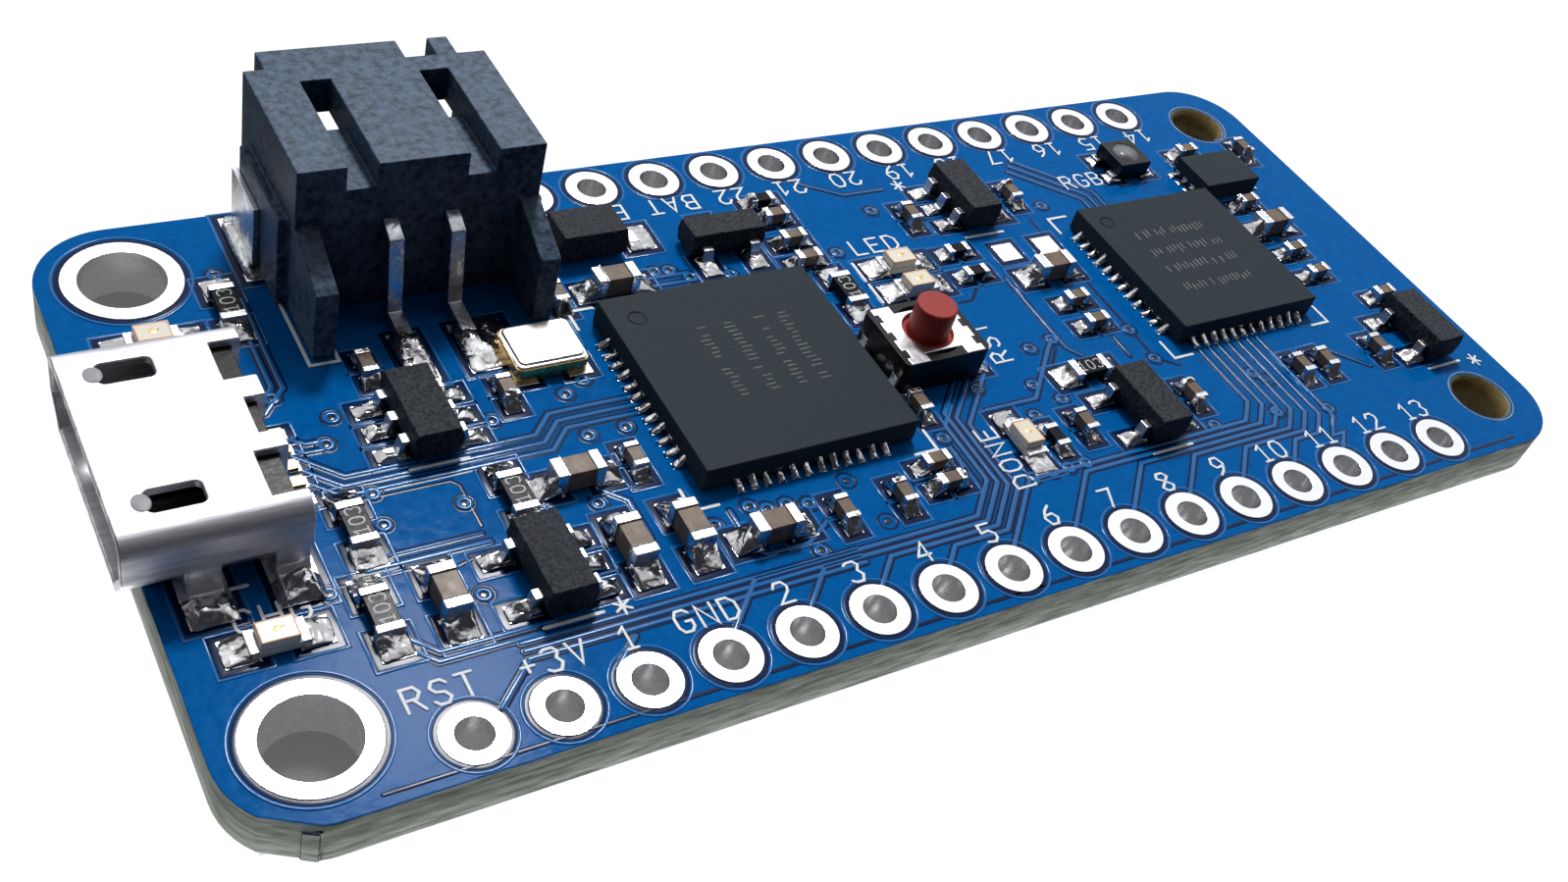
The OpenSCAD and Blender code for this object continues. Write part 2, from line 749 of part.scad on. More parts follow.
module diode_body() {
  color("#34373b") translate([diode_at.x, diode_at.y, seat_z]) difference() {
    outline_body(diode_w, diode_l, diode_h);
    diode_metal();
  }
}

module diode_leads() {
  color("silver") translate([diode_at.x, diode_at.y, seat_z]) diode_metal();
}

// ---------------------------------------------------------------- reset switch

// Outline of the metal cover: three notches in each short side, one in each long side
module cover_outline() {
  l = switch_l - 2*cover_in;
  w = switch_w - 0.1;
  difference() {
    square([l, w], center = true);
    for (s = [-1, 1]) {
      translate([0, s*w/2]) square([l*0.5, 0.75], center = true);
      for (y = [-0.32, 0, 0.32]) translate([s*l/2, y*w]) square([0.34, 0.36], center = true);
    }
  }
}

module reset_switch_base() {
  color("#141416") translate([switch_at.x, switch_at.y, seat_z]) {
    difference() {
      linear_extrude(switch_h - land_t) round_rect(switch_l, switch_w, 0.2);
      translate([0, 0, switch_h - land_t - cover_t])
        linear_extrude(cover_t + eps) cover_outline();
      translate([0, 0, well_z - seat_z]) cylinder(d = well_d, h = switch_h);
      switch_leg_places() translate([-0.2, 0, 0]) block([0.42, 0.42, 0.5]);
    }
  }
}

module reset_switch_cover() {
  color("whitesmoke") translate([switch_at.x, switch_at.y, board_t + switch_h - cover_t])
    linear_extrude(cover_t) difference() {
      cover_outline();
      circle(d = button_d + 2*button_gap);
    }
}

// Two legs at each end, with +X pointing outwards
module switch_leg_places() {
  for (turn = [0, 180], y = [-1, 1])
    rotate(turn) translate([switch_l/2, y*switch_w*0.34, 0]) children();
}

module reset_switch_legs() {
  color("silver") translate([switch_at.x, switch_at.y, seat_z]) switch_leg_places() {
    translate([-0.2, 0, 0]) block([0.4, 0.4, 0.5]);
    translate([0.14, 0, 0]) block([0.3, 0.4, 0.15]);
  }
}

// Snap dome under the button: a shallow cone-topped spring disc
module reset_switch_dome() {
  rise = flange_z - 0.01 - well_z;
  r = flange_d/2 + 0.08;
  color("silver") translate([switch_at.x, switch_at.y, well_z])
    rotate_extrude() polygon([
      [0, rise - dome_t], [0, rise], [r*0.35, rise], [r*0.75, rise*0.55], [r, dome_t],
      [r, 0], [r - 0.06, 0], [r*0.75 - 0.05, rise*0.55 - dome_t], [r*0.35, rise - dome_t]]);
}

module reset_button() {
  color("firebrick") translate([switch_at.x, switch_at.y, flange_z]) {
    cylinder(d = flange_d, h = flange_t);
    cylinder(d = button_d, h = board_t + switch_h + button_rise - flange_z);
  }
}

// ---------------------------------------------------------------- passive parts

module large_capacitor_bodies() {
  color("tan") at_places(large_capacitors, seat_z)
    passive_body(large_l, large_w, large_capacitor_h);
}

module large_capacitor_terminals() {
  color("silver") at_places(large_capacitors, seat_z)
    passive_caps(large_l, large_w, large_capacitor_h, large_cap_l);
}

module small_capacitor_bodies() {
  color("tan") at_places(small_capacitors, seat_z)
    passive_body(small_l, small_w, small_capacitor_h);
}

module small_capacitor_terminals() {
  color("silver") at_places(small_capacitors, seat_z)
    passive_caps(small_l, small_w, small_capacitor_h, small_cap_l);
}

module large_resistor_bodies() {
  color("#1c1d1f") at_places(large_resistors, seat_z)
    passive_body(large_l, large_w, large_resistor_h);
}

module large_resistor_terminals() {
  color("silver") at_places(large_resistors, seat_z)
    passive_caps(large_l, large_w, large_resistor_h, large_cap_l*0.8);
}

module small_resistor_bodies() {
  color("#1c1d1f") at_places(small_resistors, seat_z)
    passive_body(small_l, small_w, small_resistor_h);
}

module small_resistor_terminals() {
  color("silver") at_places(small_resistors, seat_z)
    passive_caps(small_l, small_w, small_resistor_h, small_cap_l);
}

// ---------------------------------------------------------------- lights

light_base_h = 0.25;

module status_led_bases() {
  color("ivory") at_places(lights, seat_z)
    translate([0, 0, cap_t]) block([large_l - 2*cap_t, large_w, light_base_h - cap_t]);
}

module status_led_lenses() {
  color("lightyellow") at_places(lights, seat_z + light_base_h)
    block([large_l*0.66, large_w - 0.04, light_h - light_base_h]);
}

module status_led_terminals() {
  color("silver") at_places(lights, seat_z)
    for (s = [-1, 1]) difference() {
      translate([s*(large_l - 0.26)/2, 0, 0]) block([0.26, large_w, light_base_h + cap_t]);
      translate([0, 0, cap_t]) block([large_l - 2*cap_t, large_w + eps, light_base_h - cap_t]);
    }
}

module colour_led_places() {
  for (x = [-1, 1], y = [-1, 1])
    translate([x*(colour_led_w/2 + 0.1), y*0.55, 0]) children();
}

module colour_led_body() {
  color("#2a2b2e") translate([colour_led_at.x, colour_led_at.y, seat_z]) difference() {
    block([colour_led_w, colour_led_w, colour_led_h]);
    translate([0, 0, colour_led_h - 0.3]) cylinder(d = colour_led_w*0.72, h = 0.3 + eps);
    colour_led_metal();
  }
}

module colour_led_lens() {
  color("lightgray") translate([colour_led_at.x, colour_led_at.y, seat_z + colour_led_h - 0.3])
    cylinder(d = colour_led_w*0.72, h = 0.28);
}

module colour_led_metal() {
  colour_led_places() translate([-0.02, 0, 0]) block([0.3, 0.42, 0.22]);
}

module colour_led_terminals() {
  color("silver") translate([colour_led_at.x, colour_led_at.y, seat_z]) colour_led_metal();
}

// ---------------------------------------------------------------- the nodes

board_laminate();
near_header_eyelets();
far_header_eyelets();
mounting_eyelets();
component_lands();
usb_shell();
usb_tongue();
usb_contacts();
battery_socket_housing();
battery_socket_pins();
battery_socket_tabs();
main_chip_body();
main_chip_terminals();
second_chip_body();
second_chip_terminals();
memory_chip_body();
memory_chip_terminals();
crystal_base();
crystal_lid();
charger_chip_body();
charger_chip_leads();
usb_guard_body();
usb_guard_leads();
near_regulator_body();
near_regulator_leads();
far_regulator_body();
far_regulator_leads();
supervisor_body();
supervisor_leads();
power_switch_body();
power_switch_leads();
diode_body();
diode_leads();
reset_switch_base();
reset_switch_cover();
reset_switch_dome();
reset_switch_legs();
reset_button();
large_capacitor_bodies();
large_capacitor_terminals();
small_capacitor_bodies();
small_capacitor_terminals();
large_resistor_bodies();
large_resistor_terminals();
small_resistor_bodies();
small_resistor_terminals();
status_led_bases();
status_led_lenses();
status_led_terminals();
colour_led_body();
colour_led_lens();
colour_led_terminals();
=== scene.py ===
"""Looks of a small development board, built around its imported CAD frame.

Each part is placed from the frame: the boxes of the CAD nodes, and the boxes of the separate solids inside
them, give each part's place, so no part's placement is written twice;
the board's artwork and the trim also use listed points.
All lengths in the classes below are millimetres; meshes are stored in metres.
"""

from __future__ import annotations

import json
import logging
import math
from dataclasses import dataclass, field
from enum import Enum

import bmesh
import bpy
import numpy as np
from mathutils import Matrix, Vector

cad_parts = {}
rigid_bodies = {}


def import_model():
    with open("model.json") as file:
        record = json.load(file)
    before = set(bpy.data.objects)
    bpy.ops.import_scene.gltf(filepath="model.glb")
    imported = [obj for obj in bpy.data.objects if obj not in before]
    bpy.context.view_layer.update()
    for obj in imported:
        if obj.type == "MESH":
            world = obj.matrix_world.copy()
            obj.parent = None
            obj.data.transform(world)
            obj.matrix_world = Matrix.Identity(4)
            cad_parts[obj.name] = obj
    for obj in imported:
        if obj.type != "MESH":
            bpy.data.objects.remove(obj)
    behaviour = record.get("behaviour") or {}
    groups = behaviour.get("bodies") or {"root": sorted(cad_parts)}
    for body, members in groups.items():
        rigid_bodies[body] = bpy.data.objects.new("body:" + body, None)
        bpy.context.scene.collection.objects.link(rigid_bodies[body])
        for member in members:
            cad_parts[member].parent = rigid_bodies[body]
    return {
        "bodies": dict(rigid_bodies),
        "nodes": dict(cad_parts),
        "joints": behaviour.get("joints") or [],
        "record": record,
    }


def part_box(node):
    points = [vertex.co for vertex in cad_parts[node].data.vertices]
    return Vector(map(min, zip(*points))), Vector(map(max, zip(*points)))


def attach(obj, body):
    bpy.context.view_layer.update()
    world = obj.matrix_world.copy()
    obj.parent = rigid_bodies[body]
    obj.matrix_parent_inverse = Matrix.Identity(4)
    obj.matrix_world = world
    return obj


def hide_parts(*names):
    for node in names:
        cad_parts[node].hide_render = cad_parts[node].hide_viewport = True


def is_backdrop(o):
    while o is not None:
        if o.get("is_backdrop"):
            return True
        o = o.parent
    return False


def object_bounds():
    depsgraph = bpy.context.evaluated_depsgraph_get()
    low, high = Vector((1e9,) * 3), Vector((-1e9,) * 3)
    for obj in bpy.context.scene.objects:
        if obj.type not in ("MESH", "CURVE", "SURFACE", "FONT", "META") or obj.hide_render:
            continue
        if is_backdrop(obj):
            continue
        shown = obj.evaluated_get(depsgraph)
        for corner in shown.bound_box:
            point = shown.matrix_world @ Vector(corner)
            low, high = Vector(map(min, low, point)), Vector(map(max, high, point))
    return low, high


LOG = logging.getLogger("board")
MM = 0.001
BOARD = "board"
BUTTON = "reset_button"
SEED = 20
SHADER = "Principled BSDF"
WHITE = (1.0, 1.0, 1.0, 1.0)
FLAT_ANGLE = math.radians(0.6)  # neighbouring triangles under this are one flat face
EDGE_ANGLE = math.radians(35)  # edges sharper than this are rounded
DENT = 0.05  # depth of a pattern's dents at full strength
BROAD_LAND = 2.5  # lands wider than this lie under a whole chip
LEAST_OVERLAP = 0.005  # area under which a terminal doesn't stand on a land


# ------------------------------------------------------------------ small geometry


def cleaned(name: str, points: np.ndarray, faces: np.ndarray, weld: float,
            sliver: float = 0.0, flat: float = 0.0) -> bpy.types.Object:
    """Makes an object of points and faces, and cleans its mesh.

    Args:
        name: the object's name.
        points: vertices in metres.
        faces: numbers of each face's vertices.
        weld: distance at which vertices are merged.
        sliver: length under which edges are dissolved, 0 to keep them all.
        flat: angle under which neighbouring faces are joined, 0 to keep them all.

    Returns:
        The new object, at the origin.
    """
    mesh = bpy.data.meshes.new(name)
    mesh.from_pydata(points.tolist(), [], faces.tolist())
    bm = bmesh.new()
    bm.from_mesh(mesh)
    bmesh.ops.remove_doubles(bm, verts=bm.verts, dist=weld)
    if sliver:
        bmesh.ops.dissolve_degenerate(bm, edges=bm.edges, dist=sliver)
    if flat:
        bmesh.ops.dissolve_limit(bm, angle_limit=flat, verts=bm.verts, edges=bm.edges)
    bm.to_mesh(mesh)
    bm.free()
    return linked(name, mesh)


def linked(name: str, data) -> bpy.types.Object:
    """Makes an object of a mesh, lamp or camera, in the scene, at the origin."""
    obj = bpy.data.objects.new(name, data)
    bpy.context.scene.collection.objects.link(obj)
    return obj


def shade(piece: bpy.types.Object, smooth: bool) -> None:
    """Shades all the faces of a piece smooth or flat."""
    faces = piece.data.polygons
    faces.foreach_set("use_smooth", [smooth] * len(faces))


@dataclass(frozen=True)
class Block:
    """An upright box in millimetres.

    Args:
        lo: lowest corner.
        hi: highest corner.
    """

    lo: np.ndarray
    hi: np.ndarray

    @property
    def centre(self) -> np.ndarray:
        """Middle of the box."""
        return (self.lo + self.hi) / 2

    @property
    def size(self) -> np.ndarray:
        """Lengths of its sides."""
        return self.hi - self.lo


@dataclass
class Shell:
    """Vertices and faces gathered from many small surfaces, in millimetres."""

    points: list[np.ndarray] = field(default_factory=list)
    faces: list[np.ndarray] = field(default_factory=list)
    count: int = 0

    def add_grid(self, grid: np.ndarray, wrap_u: bool = False, wrap_v: bool = False) -> None:
        """Adds a grid of points as quads.

        Args:
            grid: array of shape (u, v, 3); the face normal is du x dv.
            wrap_u: join the last row to the first.
            wrap_v: join the last column to the first.
        """
        nu, nv = grid.shape[:2]
        index = np.arange(nu * nv).reshape(nu, nv) + self.count
        if wrap_u:
            index = np.vstack([index, index[:1]])
        if wrap_v:
            index = np.hstack([index, index[:, :1]])
        quads = np.stack([index[:-1, :-1], index[1:, :-1], index[1:, 1:], index[:-1, 1:]], -1)
        self.points.append(grid.reshape(-1, 3))
        self.faces.append(quads.reshape(-1, 4))
        self.count += nu * nv

    def build(self, name: str, smooth: bool = True) -> bpy.types.Object:
        """Makes one object of everything gathered, with its doubles merged.

        Args:
            name: the object's name.
            smooth: shade its faces smooth.

        Returns:
            The new object, at the origin.
        """
        points = np.concatenate(self.points) * MM
        obj = cleaned(name, points, np.concatenate(self.faces), weld=2e-7, sliver=1e-8)
        shade(obj, smooth)
        return obj


class Frame:
    """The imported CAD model, read in millimetres."""

    def __init__(self) -> None:
        """Loads the frame and notes the CAD box."""
        self.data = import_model()
        self.nodes: dict[str, bpy.types.Object] = self.data["nodes"]
        self.cad_box = [list(corner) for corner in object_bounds()]

    def block(self, node: str) -> Block:
        """Box of a whole node."""
        lo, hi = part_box(node)
        return Block(np.array(lo) / MM, np.array(hi) / MM)

    def soup(self, node: str) -> tuple[np.ndarray, np.ndarray]:
        """Reads the vertices and triangles of a CAD node.

        Args:
            node: name of the CAD node.

        Returns:
            Points of shape (n, 3) in metres, and their numbers, three per triangle.
        """
        mesh = self.nodes[node].data
        points = np.empty(len(mesh.vertices) * 3)
        mesh.vertices.foreach_get("co", points)
        mesh.calc_loop_triangles()
        corners = np.empty(len(mesh.loop_triangles) * 3, np.int64)
        mesh.loop_triangles.foreach_get("vertices", corners)
        return points.reshape(-1, 3), corners.reshape(-1, 3)

    def islands(self, node: str) -> list[Block]:
        """Boxes of the separate solids in a node.

        Vertices at one place are made one, and each takes the lowest number among
        the corners of its triangles until nothing changes.

        Args:
            node: name of the CAD node.

        Returns:
            One box per solid, in order of X and then Y.
        """
        points, corners = self.soup(node)
        places, same = np.unique((points / MM).round(4), axis=0, return_inverse=True)
        corners = same.reshape(-1)[corners]
        label = np.arange(len(places))
        while True:
            fresh = label.copy()
            np.minimum.at(fresh, corners.ravel(), np.repeat(label[corners].min(1), 3))
            if (fresh == label).all():
                break
            label = fresh
        solids = [places[label == k] for k in np.unique(label)]
        blocks = [Block(solid.min(0), solid.max(0)) for solid in solids]
        return sorted(blocks, key=lambda b: (round(b.centre[0], 2), round(b.centre[1], 2)))

    def copy(self, node: str, name: str, whole: bool = True) -> bpy.types.Object:
        """A copy of a CAD node as one welded mesh.

        Args:
            node: name of the CAD node.
            name: name of the new object.
            whole: join the triangles of each flat face.

        Returns:
            The copy, at the origin.
        """
        points, corners = self.soup(node)
        return cleaned(name, points, corners, weld=1e-6, flat=FLAT_ANGLE if whole else 0.0)


# ------------------------------------------------------------------ finishes


def feed(tree, target, inputs: dict) -> None:
    """Links or sets some inputs of a node.

    Args:
        tree: the node tree.
        target: the node.
        inputs: for each input's name or number, the socket to link or the value to set.
    """
    for name, value in inputs.items():
        if isinstance(value, bpy.types.NodeSocket):
            tree.links.new(value, target.inputs[name])
        else:
            target.inputs[name].default_value = value


def add_node(tree, kind: str, inputs: dict | None = None, **settings) -> bpy.types.Node:
    """Adds a shader node.

    Args:
        tree: the node tree.
        kind: the node's type, without ShaderNode.
        inputs: its inputs, as in feed.
        **settings: its attributes, such as operation.

    Returns:
        The node.
    """
    made = tree.nodes.new(f"ShaderNode{kind}")
    for name, value in settings.items():
        setattr(made, name, value)
    feed(tree, made, inputs or {})
    return made


def blend(tree, factor, first, second, kind: str = "RGBA") -> bpy.types.NodeSocket:
    """Mixes two sockets or values.

    Args:
        tree: the node tree.
        factor: the socket that says how much of the second there is.
        first: socket or value.
        second: socket or value.
        kind: data type of the mix.

    Returns:
        The socket with the mixed value.
    """
    inputs = {"Factor": factor, "A": first, "B": second}
    return add_node(tree, "Mix", inputs, data_type=kind).outputs["Result"]


class Pattern(Enum):
    """Which shared node group gives a finish its detail."""

    GRAIN = "fine_grain"
    BRUSHED = "drawn_metal"
    LAYERED = "glass_layers"
    RIPPLE = "solder_ripple"


class Groups:
    """Shader node groups that several finishes share, each built once."""

    def __init__(self) -> None:
        """Builds every group."""
        self.trees = {
            Pattern.GRAIN: self._grain(Pattern.GRAIN, (1.0, 1.0, 1.0), 4.0),
            Pattern.BRUSHED: self._grain(Pattern.BRUSHED, (0.12, 1.0, 1.0), 3.0),
            Pattern.LAYERED: self._grain(Pattern.LAYERED, (0.35, 0.35, 2.4), 5.0),
            Pattern.RIPPLE: self._ripple(),
        }

    @staticmethod
    def _sockets(pattern: Pattern) -> tuple[bpy.types.NodeTree, bpy.types.NodeOutputs]:
        """Makes an empty group with the sockets that all the groups have.

        Args:
            pattern: which group, for its name.

        Returns:
            The tree, and the sockets that hold its inputs.
        """
        tree = bpy.data.node_groups.new(pattern.value, "ShaderNodeTree")
        for label, value in (("Scale", 10.0), ("Depth", 0.2), ("Roughness", 0.5), ("Spread", 0.1)):
            socket = tree.interface.new_socket(label, in_out="INPUT", socket_type="NodeSocketFloat")
            socket.default_value = value
        for label, kind in (("Mask", "Float"), ("Roughness", "Float"), ("Normal", "Vector")):
            tree.interface.new_socket(label, in_out="OUTPUT", socket_type=f"NodeSocket{kind}")
        return tree, tree.nodes.new("NodeGroupInput").outputs

    def _grain(self, pattern: Pattern, stretch: tuple[float, float, float], detail: float):
        """Noise that speckles, roughens and lightly dents a surface.

        Args:
            pattern: which group this is.
            stretch: scale of the noise along each axis.
            detail: octaves of the noise.

        Returns:
            The node tree.
        """
        tree, given = self._sockets(pattern)
        place = add_node(tree, "TexCoord").outputs["Object"]
        turn = add_node(tree, "Mapping", {"Vector": place, "Scale": stretch}).outputs["Vector"]
        noise = add_node(tree, "TexNoise", {
            "Vector": turn, "Scale": given["Scale"], "Detail": detail, "Roughness": 0.6})
        return self._outlets(tree, given, noise.outputs["Fac"])

    def _ripple(self):
        """Broad folds with finer ones on them, as solder sets.

        Returns:
            The node tree.
        """
        tree, given = self._sockets(Pattern.RIPPLE)
        place = add_node(tree, "TexCoord").outputs["Object"]
        broad = add_node(tree, "TexNoise", {
            "Vector": place, "Scale": given["Scale"], "Detail": 1.5, "Distortion": 1.2})
        finer = add_node(tree, "Math", {0: given["Scale"], 1: 2.7}, operation="MULTIPLY")
        fine = add_node(tree, "TexVoronoi", {"Vector": place, "Scale": finer.outputs[0]},
                        feature="SMOOTH_F1")
        both = add_node(tree, "Math", {0: fine.outputs["Distance"], 1: 0.35, 2: broad.outputs["Fac"]},
                        operation="MULTIPLY_ADD")
        return self._outlets(tree, given, both.outputs[0])

    @staticmethod
    def _outlets(tree, given, height):
        """Feeds a height into the outputs that all the groups have.

        Args:
            tree: the group.
            given: the sockets that hold its inputs.
            height: the socket that holds the pattern, about 0 to 1.

        Returns:
            The group.
        """
        mask = add_node(tree, "MapRange", {"Value": height, "From Min": 0.35, "From Max": 0.68})
        mask = mask.outputs["Result"]
        centred = add_node(tree, "Math", {0: mask, 1: 0.5}, operation="SUBTRACT").outputs[0]
        rough = add_node(tree, "Math", {0: centred, 1: given["Spread"], 2: given["Roughness"]},
                         operation="MULTIPLY_ADD", use_clamp=True)
        bump = add_node(tree, "Bump", {
            "Strength": given["Depth"], "Height": height, "Distance": DENT * MM})
        feed(tree, tree.nodes.new("NodeGroupOutput"), {
            "Mask": mask, "Roughness": rough.outputs[0], "Normal": bump.outputs["Normal"]})
        return tree

    def place(self, tree, pattern: Pattern, scale: float, depth: float, rough: float, spread: float):
        """Puts a group in a material with that material's own values.

        Args:
            tree: the material's node tree.
            pattern: which group.
            scale: repeats per millimetre.
            depth: strength of the dents.
            rough: middle roughness.
            spread: how far the roughness swings.

        Returns:
            The outputs of the group node.
        """
        values = {"Scale": scale / MM, "Depth": depth, "Roughness": rough, "Spread": spread}
        return add_node(tree, "Group", values, node_tree=self.trees[pattern]).outputs


@dataclass(frozen=True)
class Finish:
    """A surface finish: two colours mixed by a pattern that also dents and roughens it.

    Args:
        name: the material's name.
        colour: main colour.
        second: colour in the pattern's peaks.
        rough: middle roughness.
        spread: how far the roughness swings.
        metal: 1 for metal, 0 for plastic.
        pattern: the shared group that it uses.
        scale: repeats of the pattern per millimetre.
        depth: strength of its dents.
        through: share of light that passes through, for resins.
        shine: specular level of a plastic.
    """

    name: str
    colour: tuple[float, float, float]
    second: tuple[float, float, float]
    rough: float = 0.4
    spread: float = 0.1
    metal: float = 0.0
    pattern: Pattern = Pattern.GRAIN
    scale: float = 8.0
    depth: float = 0.1
    through: float = 0.0
    shine: float = 0.5

    def material(self, groups: Groups) -> bpy.types.Material:
        """Builds the finish, or returns it if it is built already.

        Args:
            groups: the shared node groups.

        Returns:
            The material.
        """
        name = f"{self.name}_finish"
        if name in bpy.data.materials:
            return bpy.data.materials[name]
        made = bpy.data.materials.new(name)
        made.use_nodes = True
        tree = made.node_tree
        look = groups.place(tree, self.pattern, self.scale, self.depth, self.rough, self.spread)
        feed(tree, tree.nodes[SHADER], {
            "Base Color": blend(tree, look["Mask"], (*self.colour, 1.0), (*self.second, 1.0)),
            "Roughness": look["Roughness"],
            "Normal": look["Normal"],
            "Metallic": self.metal,
            "Specular IOR Level": self.shine,
            "Transmission Weight": self.through,
        })
        return made


TINNED = Finish("tinned_copper", (0.86, 0.86, 0.87), (0.76, 0.77, 0.79), 0.26, 0.14, 1.0,
                scale=3.0, depth=0.2)
# the solder's darker second colour paints dark reflections onto the ripple's raised patches
SOLDER = Finish("set_solder", (0.86, 0.86, 0.86), (0.44, 0.43, 0.43), 0.12, 0.14, 1.0,
                pattern=Pattern.RIPPLE, scale=2.2, depth=0.9)
LEAD = Finish("tinned_lead", (0.74, 0.75, 0.77), (0.56, 0.57, 0.60), 0.2, 0.18, 1.0,
              pattern=Pattern.RIPPLE, scale=1.6, depth=0.35)
END_CAP = Finish("end_cap_plate", (0.84, 0.84, 0.85), (0.66, 0.66, 0.68), 0.22, 0.2, 1.0,
                 pattern=Pattern.RIPPLE, scale=2.6, depth=0.5)
SHELL_STEEL = Finish("shell_steel", (0.82, 0.82, 0.86), (0.40, 0.40, 0.42), 0.42, 0.2, 0.8,
                     pattern=Pattern.BRUSHED, scale=2.0, depth=0.5)
LID_STEEL = Finish("lid_steel", (0.86, 0.86, 0.88), (0.74, 0.74, 0.76), 0.30, 0.12, 1.0,
                   scale=2.0, depth=0.12)
CRYSTAL_STEEL = Finish("crystal_steel", (0.90, 0.87, 0.82), (0.80, 0.76, 0.70), 0.30, 0.12, 1.0,
                       scale=1.6, depth=0.12)
CONTACT_GOLD = Finish("contact_gold", (0.82, 0.58, 0.24), (0.62, 0.38, 0.12), 0.28, 0.1, 1.0)
SOCKET_PLASTIC = Finish("socket_plastic", (0.012, 0.028, 0.056), (0.090, 0.145, 0.225), 0.42,
                        0.2, scale=4.0, depth=0.5, shine=0.2)
MOULDED_BLACK = Finish("moulded_black", (0.003, 0.003, 0.004), (0.008, 0.008, 0.009), 0.36, 0.12,
                       scale=6.0, depth=0.2, shine=0.2)
CHIP_TOP = Finish("chip_moulding", (0.024, 0.035, 0.042), (0.033, 0.046, 0.054), 0.50, 0.08,
                  scale=9.0, depth=0.15, shine=0.05)
PACKAGE = Finish("package_moulding", (0.005, 0.007, 0.010), (0.060, 0.066, 0.078), 0.46, 0.2,
                 scale=9.0, depth=0.7, shine=0.06)
BUTTON_RED = Finish("button_plastic", (0.30, 0.022, 0.016), (0.38, 0.036, 0.026), 0.5, 0.12,
                    scale=7.0, depth=0.2, shine=0.25)
TAN_CERAMIC = Finish("tan_ceramic", (0.19, 0.125, 0.078), (0.12, 0.085, 0.06), 0.40, 0.12,
                     scale=3.0, depth=0.2, shine=0.3)
BLACK_GLAZE = Finish("black_glaze", (0.004, 0.004, 0.005), (0.014, 0.014, 0.018), 0.26, 0.1,
                     scale=5.0, depth=0.15, shine=0.08)
LIGHT_BASE = Finish("light_base", (0.80, 0.78, 0.70), (0.70, 0.66, 0.55), 0.5, 0.1)
LIGHT_RESIN = Finish("light_resin", (0.94, 0.90, 0.80), (0.96, 0.85, 0.66), 0.22, 0.1,
                     scale=3.0, through=0.08)
CLEAR_RESIN = Finish("clear_resin", (0.24, 0.25, 0.27), (0.14, 0.15, 0.16), 0.3, 0.06,
                     scale=3.0, through=0.2)
PRINT_WHITE = Finish("print_white", (0.86, 0.88, 0.90), (0.78, 0.81, 0.85), 0.5, 0.08,
                     scale=12.0, depth=0.15)
CUT_RESIN = Finish("cut_resin", (0.22, 0.17, 0.04), (0.12, 0.08, 0.02), 0.5, 0.1, scale=2.0, depth=0.6)
AMBER = Finish("amber_plate", (0.66, 0.30, 0.12), (0.85, 0.58, 0.38), 0.35, 0.1, scale=1.2)
STAMPED = Finish("stamped_steel", (0.36, 0.37, 0.40), (0.16, 0.17, 0.18), 0.5, 0.1,
                 scale=1.2, depth=0.4)
MASK = Finish("mask_blue", (0.001, 0.138, 0.43), (0.0008, 0.11, 0.35), 0.16, 0.05, scale=0.5,
              depth=0.05, shine=0.3)
MASK_DEEP = Finish("mask_navy", (0.001, 0.014, 0.07), (0.0008, 0.009, 0.045), 0.18, 0.05,
                   scale=0.8, depth=0.05, shine=0.12)
VIA_DARK = Finish("via_dark", (0.001, 0.008, 0.03), (0.001, 0.005, 0.02), 0.15, 0.05)
MARK_BROWN = Finish("mark_brown", (0.085, 0.075, 0.055), (0.06, 0.06, 0.055), 0.6, 0.1, scale=1.2)
MARK_GREY = Finish("mark_grey", (0.16, 0.16, 0.16), (0.09, 0.095, 0.1), 0.6, 0.1, scale=1.2)
MARK_TAN = Finish("mark_tan", (0.55, 0.45, 0.35), (0.65, 0.6, 0.55), 0.5, 0.1, 0.6, scale=1.2)
MARK_PALE = Finish("mark_pale", (0.55, 0.56, 0.58), (0.42, 0.43, 0.45), 0.5, 0.1, scale=2.0)
PAPER = Finish("pale_paper", (0.10, 0.10, 0.10), (0.13, 0.13, 0.13), 0.9, 0.02, scale=0.2, depth=0.0,
               shine=0.0)


